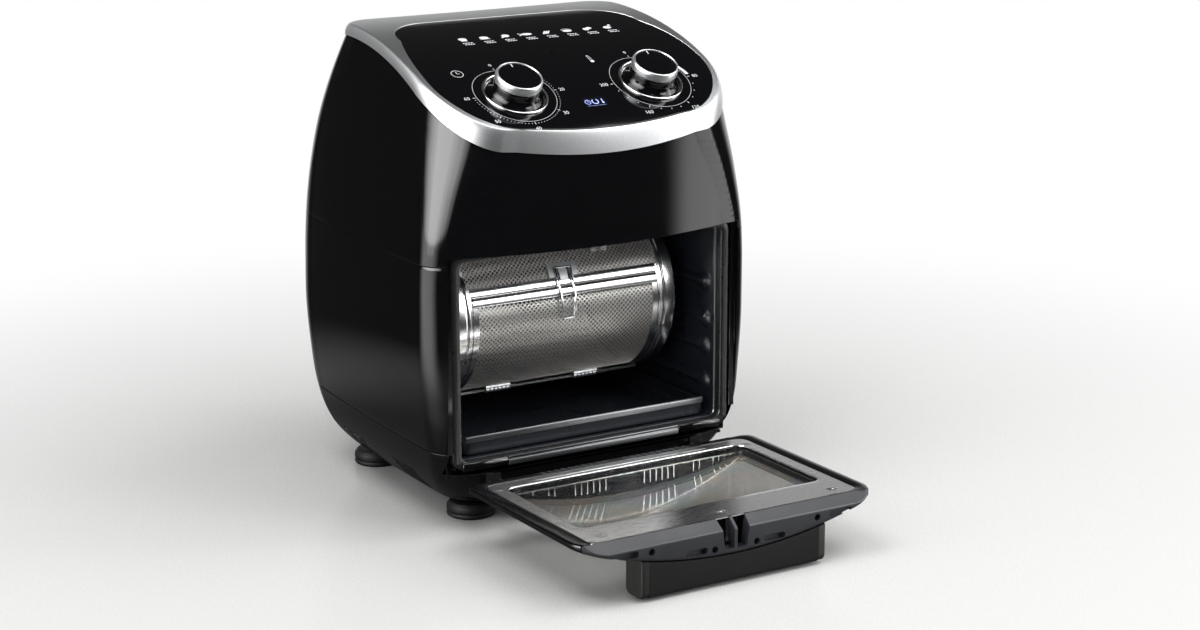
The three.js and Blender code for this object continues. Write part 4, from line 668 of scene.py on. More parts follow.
def rear_cover():
    """P(z, t): the casing behind the rear seam, with rows of vents pressed in."""
    plain = 270  # the rows are level up to here, and follow the rim above it
    heights, insets = edge_rows(SEAM_LOW + 0.3, SEAM_LOW + 3, 3)[:4].T
    heights = np.concatenate([heights, np.linspace(SEAM_LOW + 3, plain, 90)])
    insets = np.concatenate([insets, np.zeros(90)])
    t0 = t_at_rear(heights) + SEAM_GAP
    s = np.linspace(0, 1, 150)
    lower = casing(heights[:, None], t0[:, None] + (1 - t0[:, None]) * s, insets[:, None])
    u = np.linspace(0, 1, 300)[1:, None]
    guess = plain + u * (REAR_TOP - plain)
    t1 = t_at_rear(guess) + SEAM_GAP
    t = t1 + (1 - t1) * s
    upper = casing(plain + u * (rim_height(t) - plain), t)
    half = np.concatenate([lower, upper], 0)
    z = half[..., 2]
    x = half[..., 0]
    deep = np.zeros(z.shape)
    for row in range(9):
        middle = 274 + 9 * row
        d = np.hypot(z - middle, np.maximum(np.abs(x - 36.5) - 33, 0)) - 2
        deep = np.maximum(deep, 2.6 * np.clip(-d / 0.6, 0, 1))
    half[..., 1] -= deep
    first = half[:, :1] + [-1.5, 0, 0]
    half = np.concatenate([first, half], 1)
    left = half[:, :-1] * [-1, 1, 1]
    points = np.concatenate([half, left[:, ::-1]], 1)
    piece("rear_panel", points, grid_faces(*points.shape[:2]), "rear_cover", instead=True)


rear_cover()

# ---------------------------------------------------------------- rim and control panel


def panel_outline(t, inset):
    """The panel's edge at outline shares t, drawn in by inset."""
    front = -FRONT * float(shares(CROWN, 3)) + 0.5 + inset
    x, y = outline(np.abs(t), 138.7 - inset, front, 175 - inset, BOW, 66 - inset, 47 - inset, 200)
    return np.sign(t) * x, y


def ring_shares(count):
    """Outline shares right round, from the middle of the front by the right side to the back and the left."""
    t = np.concatenate([np.linspace(0, T_BOW, count)[:-1], np.linspace(T_BOW, T_CORNER, count)[:-1],
                        np.linspace(T_CORNER, T_SIDE, count)[:-1], np.linspace(T_SIDE, T_REAR, count)[:-1],
                        np.linspace(T_REAR, 1, count)])
    return np.concatenate([t, -t[1:-1][::-1]])


def rim():
    """P(k, t): from the casing's top edge over a quarter-ellipse shoulder to the panel's groove."""
    t = ring_shares(50)
    zr = rim_height(t, -1.2)
    low = casing(zr, t, -1.2)
    px, py = panel_outline(t, -0.3)
    run = np.hypot(px - low[:, 0], py - low[:, 1])
    reach = 1 / np.sqrt(1 / run ** 2 + 1 / 10 ** 2)
    rows = [casing(zr, t, 2.0) + [0, 0, 0.25], low + [0, 0, 0.25]]
    for u in np.concatenate([np.linspace(0.008, 0.2, 10), np.linspace(0.25, 1, 14)]):
        x, y = low[:, 0] + (px - low[:, 0]) * u, low[:, 1] + (py - low[:, 1]) * u
        lift = np.sqrt(1 - (1 - np.minimum(1, u * run / reach)) ** 2)
        z = low[:, 2] + 0.4 + (top_at(y) - low[:, 2] - 0.4) * lift
        rows.append(np.stack([x, y, z], -1))
    for inset, drop in ((0.05, 0.1), (0.25, 0.5), (0.3, 2.4)):
        x, y = panel_outline(t, inset - 0.3)
        rows.append(np.stack([x, y, top_at(y, drop)], -1))
    points = np.array(rows)
    piece("rim", points, grid_faces(*points.shape[:2], around=True), "control_bezel", instead=True,
          angle=50)


rim()


def on_top(x, v, lift=0.0):
    """Point of the curved top at x across and v mm along the arc behind the dial row, lift mm above it."""
    a, r = TILT - np.asarray(v, float) / TOP_R, TOP_R + lift
    return np.stack(np.broadcast_arrays(x, TOP_Y - r * np.sin(a), TOP_Z + r * np.cos(a)), -1)


def panel():
    """P(u, t): rings from the panel's edge shrinking onto its middle, on the top cylinder, holed at the dials."""
    t = ring_shares(60)
    rows = []
    for inset, drop in ((0.0, 2.0), (0.0, 0.4), (0.12, 0.12), (0.4, 0.0)):
        x, y = panel_outline(t, inset)
        rows.append(np.stack([x, y, top_at(y, drop)], -1))
    x, y = panel_outline(t, 0.4)
    for u in np.linspace(1, 0.01, 110)[1:]:
        yy = 77 + (y - 77) * u
        rows.append(np.stack([x * u, yy, top_at(yy)], -1))
    points = np.array(rows)
    centre = (points[:-1] + points[1:]) / 2
    behind = TOP_R * (TILT - np.arcsin((TOP_Y - centre[..., 1]) / TOP_R))
    skip = np.zeros(centre.shape[:2], bool)
    for cx in (-DIAL, DIAL):
        skip |= np.hypot(centre[..., 0] - cx, behind) < 28.6
    piece("panel", points, grid_faces(*points.shape[:2], around=True, skip=skip), "control_panel",
          instead=True)


panel()

# The panel's own directions at the dials
NORMAL = np.array([0, -math.sin(TILT), math.cos(TILT)])
ACROSS = np.array([1.0, 0, 0])
ALONG = np.array([0, math.cos(TILT), math.sin(TILT)])


def dial(name, cx):
    """Turned about the panel's normal: a bright ring with its tray, a flared knob, and a broad band round it."""
    centre = on_top(cx, 0)
    ring = smooth_profile([(27.2, -3.2), (27.2, 1.2), (28.3, 1.6), (29.4, 1.2), (29.4, -1.5)], 0.5)
    well = [(22, -3.3), (27.2, -3.3)]
    points, faces = merge(turned(well, centre, NORMAL, ACROSS, 96), turned(ring, centre, NORMAL, ACROSS, 96))
    piece(f"{name}_ring", points, faces, f"{name}_dial_ring", instead=True)
    bell = smooth_profile([(0, -2.6), (26, -2.6), (25.6, -0.4), (23, 1.6), (21, 5), (20.4, 11.4), (18.4, 11.6),
                           (18.4, 18.6), (18, 18.9), (0, 19.1)], 2.4, 5)
    knob = turned(bell, centre, NORMAL, ACROSS, 96)
    piece(f"{name}_grip", *knob, f"{name}_knob", instead=True, angle=50)
    trim = smooth_profile([(18.7, 11.9), (20.6, 11.9), (21, 12.8), (21, 17.2), (20.2, 19.3), (19.4, 19.7),
                           (18.9, 19.5), (18.7, 18.6)], 0.7)
    piece(f"{name}_band", *turned(trim, centre, NORMAL, ACROSS, 120), f"{name}_knob_trim",
          look=LOOKS["silver_trim"], instead=True)
    flat = ((-0.45, 13.4), (-0.45, 17.6), (0.45, 17.6), (0.45, 13.4))
    mark = np.array([centre + x * ACROSS + v * ALONG + NORMAL * h for h in (19.0, 19.25) for x, v in flat])
    piece(f"{name}_tick", mark, [[4, 5, 6, 7], [0, 1, 5, 4], [1, 2, 6, 5], [2, 3, 7, 6], [3, 0, 4, 7]], f"{name}_knob",
          look=print_look)


dial("timer", -DIAL)
dial("temperature", DIAL)

# Printing on the panel, laid on the curve a hair above it
ink = []


def stamp(points, faces, x, v):
    """Flat artwork placed at (x, v) on the curved panel."""
    ink.append((on_top(x + points[:, 0], v + points[:, 1], 0.06), faces))


def arc(radius, width, a0, a1, count, squash=1.0):
    """A curved stroke, its angles in degrees clockwise from straight back."""
    a = np.radians(np.linspace(a0, a1, count))
    inner, outer = radius - width / 2, radius + width / 2
    ring = np.concatenate([np.stack([r * np.sin(a), r * np.cos(a) * squash], -1) for r in (inner, outer)])
    return ring, [[k, k + 1, count + k + 1, count + k] for k in range(count - 1)]


def bar(x0, v0, x1, v1, width):
    """A straight stroke."""
    d = np.array([x1 - x0, v1 - v0], float)
    n = np.array([-d[1], d[0]]) / np.linalg.norm(d) * width / 2
    a, b = np.array([x0, v0]), np.array([x1, v1])
    return np.array([a - n, b - n, b + n, a + n]), [[0, 1, 2, 3]]


def disc(radius, squash=1.0):
    """A filled circle, or an oval where squashed."""
    a = np.linspace(0, 2 * np.pi, 14, endpoint=False)
    return np.stack([radius * np.cos(a), radius * squash * np.sin(a)], -1), [list(range(len(a)))]


def lettering(text, size, x, v):
    """Prints text, centred at (x, v)."""
    curve = bpy.data.curves.new("letters", "FONT")
    curve.body = text
    curve.size = size
    curve.align_x = "CENTER"
    curve.align_y = "CENTER"
    curve.resolution_u = 3
    holder = bpy.data.objects.new("letters", curve)
    scene.collection.objects.link(holder)
    bpy.context.view_layer.update()
    mesh = holder.to_mesh()
    points = np.array([tuple(p.co)[:2] for p in mesh.vertices])
    faces = [list(p.vertices) for p in mesh.polygons]
    holder.to_mesh_clear()
    bpy.data.objects.remove(holder)
    bpy.data.curves.remove(curve)
    stamp(points, faces, x, v)


def around(cx, radius, degrees):
    """The place at radius round a dial, degrees clockwise from straight back."""
    a = math.radians(degrees)
    return cx + radius * math.sin(a), radius * math.cos(a)


for cx, numbers, low, high, count in (
        (-DIAL, {0: "0", 90: "20", 132: "30", 180: "40", 225: "50", 270: "60"}, 0, 270, 61),
        (DIAL, {0: "0", 90: "80", 150: "120", 210: "160", 270: "200"}, 90, 270, 13)):
    stamp(*arc(37.3, 0.3, 0, 360, 97), cx, 0)
    for degrees, text in numbers.items():
        lettering(text, 5.6, *around(cx, 46.8 if len(text) < 3 else 48.2, degrees))
        x0, v0 = around(0, 38.6, degrees)
        x1, v1 = around(0, 41.4, degrees)
        stamp(*bar(x0, v0, x1, v1, 0.45), cx, 0)
    for k in range(count):
        degrees = low + (high - low) * k / (count - 1)
        stamp(*disc(0.36 if count > 20 else 0.5), *around(cx, 40.2, degrees))
stamp(*arc(41, 3.4, 52, 85, 24), DIAL, 0)

# A clock and a thermometer
stamp(*arc(5.4, 0.55, 0, 360, 33), -106, 38)
stamp(*bar(0, 0, 0, 3.6, 0.55), -106, 38)
stamp(*bar(0, 0, 2.4, 0, 0.55), -106, 38)
for shift in (-1, 1):
    stamp(*bar(shift, -3, shift, 5, 0.5), 30, 42)
stamp(*arc(1, 0.5, -90, 90, 9), 30, 47)
stamp(*disc(1.9), 30, 37.6)


# Eight plain food pictures, each of a few shapes with their places, over two lines of dashes
PICTURES = (
    [(disc(4.2, 0.7), 0, 1), (bar(-3, -2, 3, -2, 3.4), 0, 0)],
    [(disc(4.6, 0.62), 0, 0.6), (bar(-5, -2.6, 5, -2.6, 1.2), 0, 0)],
    [(disc(3.8, 0.85), 0.6, 0.6), (bar(-5, -3.2, -1.6, -1.2, 1.6), 0, 0)],
    [(disc(5.6, 0.46), 0.6, 0), (bar(-7.6, 2.4, -4.2, 0.5, 1.2), 0, 0), (bar(-7.6, -2.4, -4.2, -0.5, 1.2), 0, 0)],
    [(bar(-2.6 + shift, -3.2, 2.2 + shift, 3.2, 1.5), 0, 0) for shift in (-2.2, 0, 2.2)],
    [(disc(4.8, 0.6), 0, -0.4), (arc(5.4, 0.7, -70, 70, 14, 0.7), 0, 0.6)],
    [(disc(3.2, 0.9), -1.6, -0.6), (disc(2.8, 0.9), 2.4, 1.4)],
    [(disc(4, 0.8), -0.6, -0.8), (bar(1, 1, 3.6, 4, 1.2), 0, 0), (disc(1.5), 4.2, 4.2)])
for k, shapes in enumerate(PICTURES):
    x, v = -67 + k * 150 / 7, 97.0
    for shape, dx, dv in shapes:
        stamp(*shape, x + dx, v + 4 + dv)
    for row, shift in ((-4.2, -4.2), (-7.4, -3.6)):
        for dash in range(4):
            stamp(*bar(shift + dash * 2.6, row, shift + dash * 2.6 + 1.9, row, 1.5), x, v)

points, faces = merge(*ink)
piece("panel_print", points, faces, "control_panel", look=print_look)

shown = [(on_top(x + p[:, 0], v + p[:, 1], 0.08), f) for (p, f), x, v in (
    (arc(2.7, 0.55, 0, 360, 24), -7, -21), (bar(0, 0, 0, 2, 0.5), -7, -21), (bar(0, 0, 1.4, 0, 0.5), -7, -21),
    (arc(2.9, 1.0, 30, 330, 24), 0.4, -21), (bar(0, -2, 0, 2.8, 0.9), 7.6, -21), (disc(1.2), 7.6, -23),
    (bar(-9.4, 0, 9, 0, 0.2), 0, -26.2))]
points, faces = merge(*shown)
piece("display_signs", points, faces, "display_window", look=glow.material)

# ---------------------------------------------------------------- drum

# The drum's axis, its radius, and half the length of its mesh; the angles at which its hatch ends
DRUM_Y, DRUM_Z, DRUM_R, DRUM_END = 126.0, 172.0, 75.0, 103.0
HATCH_LOW, HATCH_HIGH = math.radians(-70), math.radians(20)


def drum_at(radius, angle, x):
    """A point round the drum's axis, its angle taken from straight ahead upwards."""
    return np.stack(np.broadcast_arrays(x, DRUM_Y - radius * np.cos(angle), DRUM_Z + radius * np.sin(angle)), -1)


def mesh_sheet(low, high, half, pitch, wire, thick, radius):
    """A sheet of framed diamond openings, squares on their corners, over angles low..high and x within half."""
    around_n = int(round((high - low) * radius / pitch))
    along_n = int(round(2 * half / pitch))
    da, dx = (high - low) / around_n, 2 * half / along_n
    k, m = np.meshgrid(np.arange(2 * around_n), np.arange(along_n + 1), indexing="ij")
    keep = ((k % 2 == 1) & (m < along_n)) | (k % 2 == 0)
    ca = low + (k + 0.5) * da / 2
    cx = -half + (m + 0.5 * (k % 2)) * dx
    use = keep & (ca > low + da * 0.5) & (ca < high - da * 0.5) & (np.abs(cx) < half - dx * 0.45)
    ca, cx = ca[use], cx[use]
    w = wire / pitch * 1.414  # the wire is measured square to itself, the pitch along a diagonal
    corners = np.array([(1, 0), (0, 1), (-1, 0), (0, -1)], float) * 0.5
    points = []
    for scale, r in ((1, radius), (1 - w, radius), (1 - w, radius - thick), (1, radius - thick)):
        a = ca[:, None] + corners[None, :, 1] * scale * da
        x = cx[:, None] + corners[None, :, 0] * scale * dx
        points.append(drum_at(r, a, x))
    points = np.stack(points, 1).reshape(-1, 3)
    opening = np.array(grid_faces(4, 4, around=True))
    return points, (16 * np.arange(len(ca))[:, None, None] + opening).reshape(-1, 4).tolist()


def band(r0, r1, low, high, x0, x1, count=10):
    """A curved strip with small rounded edges: a section carried along x."""
    edge = 0.25
    a = np.linspace(low, high, count)
    section = [(r1 - edge, a[0])] + [(r1, v) for v in np.linspace(low + edge / r1, high - edge / r1, count)] + [
        (r1 - edge, a[-1]), (r0, a[-1])] + [(r0, v) for v in a[::-1]]
    r, ang = np.array(section).T
    return capped([drum_at(r, ang, x) for x in (x0, x1)])


def wire_loop(c, radius, count):
    """A round wire through a closed row of points: P(k, a) = C_k + r (cos a N_k + sin a B_k)."""
    d = np.roll(c, -1, 0) - np.roll(c, 1, 0)
    d /= np.linalg.norm(d, axis=1)[:, None]
    ref = np.array([0.3, 0.2, 0.93])
    n = np.cross(d, ref)
    n /= np.linalg.norm(n, axis=1)[:, None]
    b = np.cross(d, n)
    a = np.linspace(0, 2 * np.pi, count, endpoint=False)
    points = c[:, None] + radius * (np.cos(a)[None, :, None] * n[:, None] + np.sin(a)[None, :, None] * b[:, None])
    points = np.concatenate([points, points[:1]])
    return points, grid_faces(len(points), count, around=True)


def bead(radius, rise, low, high, x0, x1, count=12):
    """A pressed strip along the drum: it rises by rise times the root of a sine over its width, edges turned in."""
    u = np.linspace(0, 1, count)
    a = low + (high - low) * u
    top = [(radius + rise * math.sin(math.pi * k) ** 0.5, v) for k, v in zip(u, a)]
    section = [(radius - 0.7, a[0]), *top, (radius - 0.7, a[-1])] + [(radius - 0.8, v) for v in a[::-1][1:-1]]
    r, ang = np.array(section).T
    return capped([drum_at(r - e, ang, x) for x, e in ((x0, 0.25), (x0 + 0.3, 0), (x1 - 0.3, 0), (x1, 0.25))])


wires = metal("mesh_steel", (0.86, 0.84, 0.81), 0.3, 0.36, (1, 1, 1), 0.01, 200, Metallic=0.93)
bright = LOOKS["bright_trim"]
hatch_half = DRUM_END - 6
back_low, back_high = HATCH_HIGH, HATCH_LOW + 2 * math.pi
PITCH, WIRE, THICK = 4.6, 0.86, 0.6  # the mesh's openings, its wires and its sheet
back_mesh = mesh_sheet(back_low + 8 / DRUM_R, back_high - 4 / DRUM_R, DRUM_END, PITCH, WIRE, THICK, DRUM_R - 0.2)
piece("drum_mesh", *back_mesh, "drum_shell", look=wires, instead=True)
frame_parts = [bead(75.0, 0.8, HATCH_HIGH + 0.6 / DRUM_R, HATCH_HIGH + 9 / DRUM_R, -hatch_half, hatch_half),
               bead(74.8, 0.4, HATCH_LOW - 5 / DRUM_R, HATCH_LOW - 0.4 / DRUM_R, -hatch_half, hatch_half)]
for s in (-1, 1):
    x0, x1 = sorted((s * hatch_half, s * (DRUM_END + 0.3)))
    frame_parts.append(band(74.3, 75.2, HATCH_LOW - 5 / DRUM_R, HATCH_HIGH + 9 / DRUM_R, x0, x1, 50))
piece("drum_frame", *merge(*frame_parts), "drum_shell", look=bright)

clear = 0.8 / DRUM_R
half = hatch_half - 0.8
hatch_mesh = mesh_sheet(HATCH_LOW + clear, HATCH_HIGH - 8.5 / DRUM_R, half, PITCH, WIRE, THICK, DRUM_R - 0.2)
piece("hatch_mesh", *hatch_mesh, "drum_hatch", look=wires, instead=True)
parts = [bead(74.8, 0.4, HATCH_LOW + clear, HATCH_LOW + clear + 3.4 / DRUM_R, -half, half, 8)]
for s in (-1, 1):
    x0, x1 = sorted((s * (half - 5.5), s * half))
    parts.append(band(74.2, 75.3, HATCH_LOW + clear, HATCH_HIGH - 8 / DRUM_R, x0, x1, 40))
knuckles = []
hinge_y, hinge_z = drum_at(78, HATCH_LOW - clear, 0)[1:]
for s in (-1, 1):
    x0, x1 = sorted((s * 34, s * 59))
    for k in range(6):
        a, b = x0 + (x1 - x0) * k / 6 + 0.3, x0 + (x1 - x0) * (k + 1) / 6 - 0.3
        roll = smooth_profile([(1.5, a), (2.6, a), (2.6, b), (1.5, b)], 0.4)
        knuckles.append(turned(roll, (0, hinge_y, hinge_z), (1, 0, 0), (0, 0, 1), 20))
    knuckles.append(band(75, 77, HATCH_LOW + clear, HATCH_LOW + clear * 4, x0, x1, 4))
piece("hatch_frame", *merge(*parts), "drum_hatch", look=bright)
plate_grey = metal("plate_grey", (0.42, 0.43, 0.44), 0.4, 0.46, (1, 1, 1), 0.02, 300)
piece("hatch_knuckles", *merge(*knuckles), "drum_hatch", look=plate_grey)

points, faces = bead(75.4, 0.8, HATCH_HIGH - 8.6 / DRUM_R, HATCH_HIGH - 0.3 / DRUM_R, -half, half)
piece("hatch_strip", points, faces, "hatch_band", look=bright, instead=True)


def latch():
    """The plate that holds the bail: two lobes with a gap between them, joined above, and a tongue over the gap."""
    parts = [band(75.9, 76.6, math.radians(26.5), math.radians(37), -15, -6, 10),
             band(75.9, 76.6, math.radians(26.5), math.radians(37), 6, 15, 10),
             band(75.9, 76.6, math.radians(33.5), math.radians(37), -6.2, 6.2, 6),
             band(75.7, 76.4, math.radians(24), math.radians(34), -4, 4, 8)]
    points, faces = merge(*parts)
    piece("latch_tongue", points, faces, "latch_plate", look=plate_grey, instead=True)


latch()


def bail():
    """One wire loop: up one leg, across the pivot, down the other and across the foot."""
    radius = 77.6
    legs = np.radians(np.linspace(33, -1.7, 24))
    apart = np.interp(np.linspace(0, 1, 24), [0, 0.6, 1], [8, 7.2, 5.6])
    up = drum_at(radius, legs[::-1], -apart[::-1])
    down = drum_at(radius, legs, apart)
    across = drum_at(radius, legs[:1], np.linspace(-7, 7, 7))
    foot = drum_at(radius, legs[-1:], np.linspace(4.6, -4.6, 7))
    points, faces = wire_loop(np.concatenate([up, across, down, foot]), 1.1, 10)
    piece("bail_wire", points, faces, "latch_bail", look=bright, instead=True)


bail()


def cap(name, side):
    """End cap: a dished disc, a rolled rim over the drum's edge, and its stub."""
    centre = (0, DRUM_Y, DRUM_Z)
    profile = smooth_profile([(0, 104.4), (44, 104.4), (47, 106), (66, 106), (71, 114.4), (75.4, 114.9), (76.2, 113.5),
                              (76.2, 104), (75.6, 103), (76.2, 101.5), (76.2, 99.4), (75.4, 99.2), (75.4, 113.6),
                              (70, 113.6), (66, 103.5), (0, 103.4)], 1.4)
    axis = (side, 0, 0)
    parts = [turned(profile, centre, axis, (0, 0, 1), 120)]
    if side < 0:
        parts.append(box(-126, -104, DRUM_Y - 4, DRUM_Y + 4, DRUM_Z - 4, DRUM_Z + 4, 0.6))
    else:
        stub = smooth_profile([(0, 104), (4, 104), (4, 129), (0, 129)], 0.6)
        parts.append(turned(stub, centre, axis, (0, 0, 1), 32))
    points, faces = merge(*parts)
    piece(name, points, faces, f"{name}_cap", instead=True, angle=50)


cap("left_drum", -1)
cap("right_drum", 1)

# ---------------------------------------------------------------- door, drawn shut in its hinge's frame

# The door hinge's axis, how far forward the shut door's front lies, and the height where its top rail starts
HINGE_Y, HINGE_Z, DOOR_FRONT, SPLIT = -10.8, 42.8, -15.8, 197.0


def lay(points):
    """Turns door points (x, forward-back, up) from the shut door's frame to the open rest pose."""
    p = np.asarray(points, float)
    return np.stack([p[..., 0], HINGE_Y - p[..., 2], HINGE_Z + p[..., 1]], -1)


def bow(x, front=DOOR_FRONT):
    """Depth of the door's bowed front at x."""
    return front + BOW - np.sqrt(BOW ** 2 - np.asarray(x, float) ** 2)


def rounded(wide, z0, z1, low, high, count=12, straight=30):
    """A rounded rectangle's ring of points, wide to either side, with corners of radius low below and high above."""
    corners = []
    for cx, cz, r, a0 in ((wide - low, z0 + low, low, -90), (wide - high, z1 - high, high, 0),
                          (high - wide, z1 - high, high, 90), (low - wide, z0 + low, low, 180)):
        a = np.radians(np.linspace(a0, a0 + 90, count))
        corners.append(np.stack([cx + r * np.cos(a), cz + r * np.sin(a)], -1))
    line = []
    between = np.linspace(0, 1, straight + 2)[1:-1, None]
    for k, corner in enumerate(corners):
        line += [corner, corner[-1] + (corners[(k + 1) % 4][0] - corner[-1]) * between]
    return np.concatenate(line)


# Half width, low edge, high edge and corner radii of the plate's window and of the door
WINDOW, DOOR = (122, 36, 158.5, 9, 9), (148, 13.4, 206.7, 8, 24)
PANE_BACK = -9.6  # depth just behind the outer pane, at the door's middle


def rings(*specs):
    """Stack of closed rings, each (x, z) points with its depth array."""
    return np.array([np.stack([r[:, 0], np.broadcast_to(y, len(r)), r[:, 1]], -1) for r, y in specs])


def door_shell():
    """Pan behind the bowed front: window edge, bowed face, round side wall and a broad rounded rim round the plate."""
    win = rounded(119, 39, 155.5, 9, 9)
    win_in = rounded(119.8, 38.2, 156.3, 9.6, 9.6)
    specs = [(win_in, bow(win_in[:, 0]) + 2.6), (win, bow(win[:, 0]) + 2.2), (win, bow(win[:, 0]) + 0.4)]
    for u in np.linspace(0.02, 1, 26):
        r = win + (rounded(146.8, 14.6, 205.5, 7, 23) - win) * u
        specs.append((r, bow(r[:, 0])))
    wide, low, high, low_r, high_r = DOOR
    for inset, back in ((0.6, 0.15), (0.15, 0.6), (0, 1.4)):
        r = rounded(wide - inset, low + inset, high - inset, low_r - inset, high_r - inset)
        specs.append((r, bow(r[:, 0]) + back))
    for inset, level in ((0, 12.4), (0.4, 13.3), (1.4, 13.85), (4, 13.9), (10.6, 13.9), (12.2, 13.6), (13, 12.7),
                         (13.1, 12.1)):
        specs.append((rounded(wide - inset, low + inset * 0.6, high - inset, low_r, max(high_r - inset, 9)), level))
    r = rounded(134, 22, 193, 8, 10)
    specs.append((r, 12.1))
    specs.append((r, np.minimum(bow(r[:, 0]) + 3, 12)))
    points = rings(*specs)
    centre = (points[:-1] + points[1:]) / 2
    skip = (centre[..., 2] > 196.7)
    piece("door_pan", lay(points), grid_faces(*points.shape[:2], around=True, flip=True, skip=skip), "door_shell",
          instead=True)


door_shell()


def window_well():
    """Walls between the panes: P(s, v) steps down from the plate's window to the outer pane, with bright lips."""
    rows = []
    wide, low, high, low_r, high_r = WINDOW
    for inset, v in ((0, 0), (0.2, 0.1), (1.4, 0.12), (1.6, 0.35), (2.6, 0.37), (2.8, 0.62), (3.4, 0.64), (3.4, 1)):
        r = rounded(wide - inset, low + inset * 0.9, high - inset, low_r, high_r, 12, 60)
        foot = np.minimum(bow(r[:, 0], PANE_BACK) + 0.5, 8.8)
        rows.append((r, 9 + (foot - 9) * v))
    points = rings(*rows)
    piece("window_well", lay(points), grid_faces(*points.shape[:2], around=True), "door_shell",
          look=LOOKS["base_black"])
    lips = []
    for first, count in ((-112, 3), (-84, 2), (-57, 6), (14, 6), (66, 2), (87, 4)):
        for k in range(count):
            x = first + 6.2 * k
            low = max(float(bow(abs(x) + 4, PANE_BACK)) + 2.4, -4)
            if low < 6.4:
                p, faces = box(x + 2.2, x + 3.1, 39.6, 40.4, 0, 1, 0.1)
                lips.append((np.column_stack([p[:, 0], low + (7.6 - low) * p[:, 2], p[:, 1]]), faces))
    across = ((-117, 39.5), (-117, 40.3), (117, 40.3), (117, 39.5))
    lips.append((np.array([(x, y, z) for y in (7.7, 8.5) for x, z in across]),
                 [[0, 1, 2, 3], [7, 6, 5, 4], [0, 4, 5, 1], [1, 5, 6, 2], [2, 6, 7, 3], [3, 7, 4, 0]]))
    points, faces = merge(*lips)
    piece("slot_lips", lay(points), faces, "door_shell", look=LOOKS["bright_trim"])


window_well()


def grown(r, d):
    """A ring pushed outwards by d from the window's middle."""
    return r + np.sign(r - np.array([0, 100.0])) * d


def plate():
    """Flat steel ring round the window with a rolled edge, and its dimpled screws."""
    outer = rounded(134.4, 21.6, 196.7, 9, 3)
    win = rounded(*WINDOW)
    top, low = 13.7, 12.7
    specs = [(win, low), (win, top - 0.5), (grown(win, 0.2), top - 0.1), (grown(win, 0.7), top)]
    for u in np.linspace(0.1, 0.95, 12):
        specs.append((win + (outer - win) * u, top))
    specs += [(grown(outer, -0.6), top), (grown(outer, -0.1), top - 0.2), (outer, top - 0.6), (outer, low)]
    points = rings(*specs)
    parts = [(lay(points), grid_faces(*points.shape[:2], around=True))]
    for x, y, high in ((-116, 181.5, 1), (0, 181.5, 1), (116, 181.5, 1), (-61.3, 26.8, 0.3), (61.3, 26.8, 0.3),
                       (-128.4, 36.2, 0.3), (128.4, 36.2, 0.3)):
        head = smooth_profile([(5.2, 0.02), (4.2, 0.45 * high), (3.4, 0.2 * high), (2.8, 0.7 * high),
                               (1.2, 0.8 * high), (0, 0.4 * high)], 0.3, 2)
        parts.append(turned(head, lay(np.array([x, 13.68, y])), (0, 0, 1), (1, 0, 0), 28))
    piece("door_plate", *merge(*parts), "door_inner_plate", instead=True)


plate()


def hinge_strip():
    """A bright strip beside the hinges, and behind it a dark row of slanted vents."""
    points, faces = upended(*box(-88, 88, 21.9, 30.4, 13.6, 13.95, 0.15))
    piece("hinge_strip", lay(points), faces, "door_inner_plate")
    fins = []
    for k in range(22):
        x = -74 + k * 7
        if k not in (10, 11):
            a, b = box(x, x + 3.2, 14.4, 20, 13.84, 14.08, 0.1)
            a[:, 0] += (a[:, 1] - 17) * 0.5
            fins.append(upended(a, b))
    points, faces = merge(*fins)
    piece("vent_fins", lay(points), faces, "door_shell", look=LOOKS["satin_grey"])


hinge_strip()


def panes():
    """Inner flat pane and outer bowed pane, each a slab of rings closing on its middle."""
    for name, node, y0, y1, bowed in (("inner_pane", "door_inner_glass", 9.2, 12.3, False),
                                      ("outer_pane", "door_outer_glass", -12.9, -9.8, True)):
        edge = rounded(126.6, 31.4, 163.2, 9, 9)
        middle = np.array([0, 97.0])
        stack = [middle + (edge - middle) * u for u in np.linspace(1, 0.02, 20)]
        points = rings(*[(r, y0) for r in stack[::-1]], *[(r, y1) for r in stack])
        if bowed:
            points[..., 1] += bow(points[..., 0], 0)
        points, faces = capped(points)
        piece(name, lay(points), faces, node, look=pane_coat if bowed else None, instead=True)


panes()


def apply_cut(obj, cutters):
    """Cuts closed solids (points, faces in the rest pose) out of a piece with an exact boolean, then bakes it."""
    points, faces = merge(*cutters)
    mesh = bpy.data.meshes.new("cutter")
    mesh.from_pydata(placed(points).tolist(), [], faces)
    mesh.update()
    tool = bpy.data.objects.new("cutter", mesh)
    scene.collection.objects.link(tool)
    cut = obj.modifiers.new("cut", "BOOLEAN")
    cut.operation = "DIFFERENCE"
    cut.solver = "EXACT"
    cut.object = tool
    graph = bpy.context.evaluated_depsgraph_get()
    graph.update()
    baked = bpy.data.meshes.new_from_object(obj.evaluated_get(graph))
    obj.modifiers.clear()
    old = obj.data
    obj.data = baked
    bpy.data.meshes.remove(old)
    bpy.data.objects.remove(tool)
    bpy.data.meshes.remove(mesh)
    obj.data.shade_smooth()
    obj.data.set_sharp_from_angle(angle=math.radians(30))


def stadium(x, y, length, width, z0, z1):
    """A round-ended slot standing from z0 to z1 in the door's frame."""
    count = 10  # points on each round end
    a = np.radians(np.concatenate([np.linspace(-90, 90, count), np.linspace(90, 270, count)]))
    shift = np.where(np.arange(2 * count) < count, 1, -1) * (length - width) / 2
    px, py = x + shift + np.cos(a) * width / 2, y + np.sin(a) * width / 2
    return capped([np.stack([px, py, np.full(2 * count, z)], -1) for z in (z0, z1)])


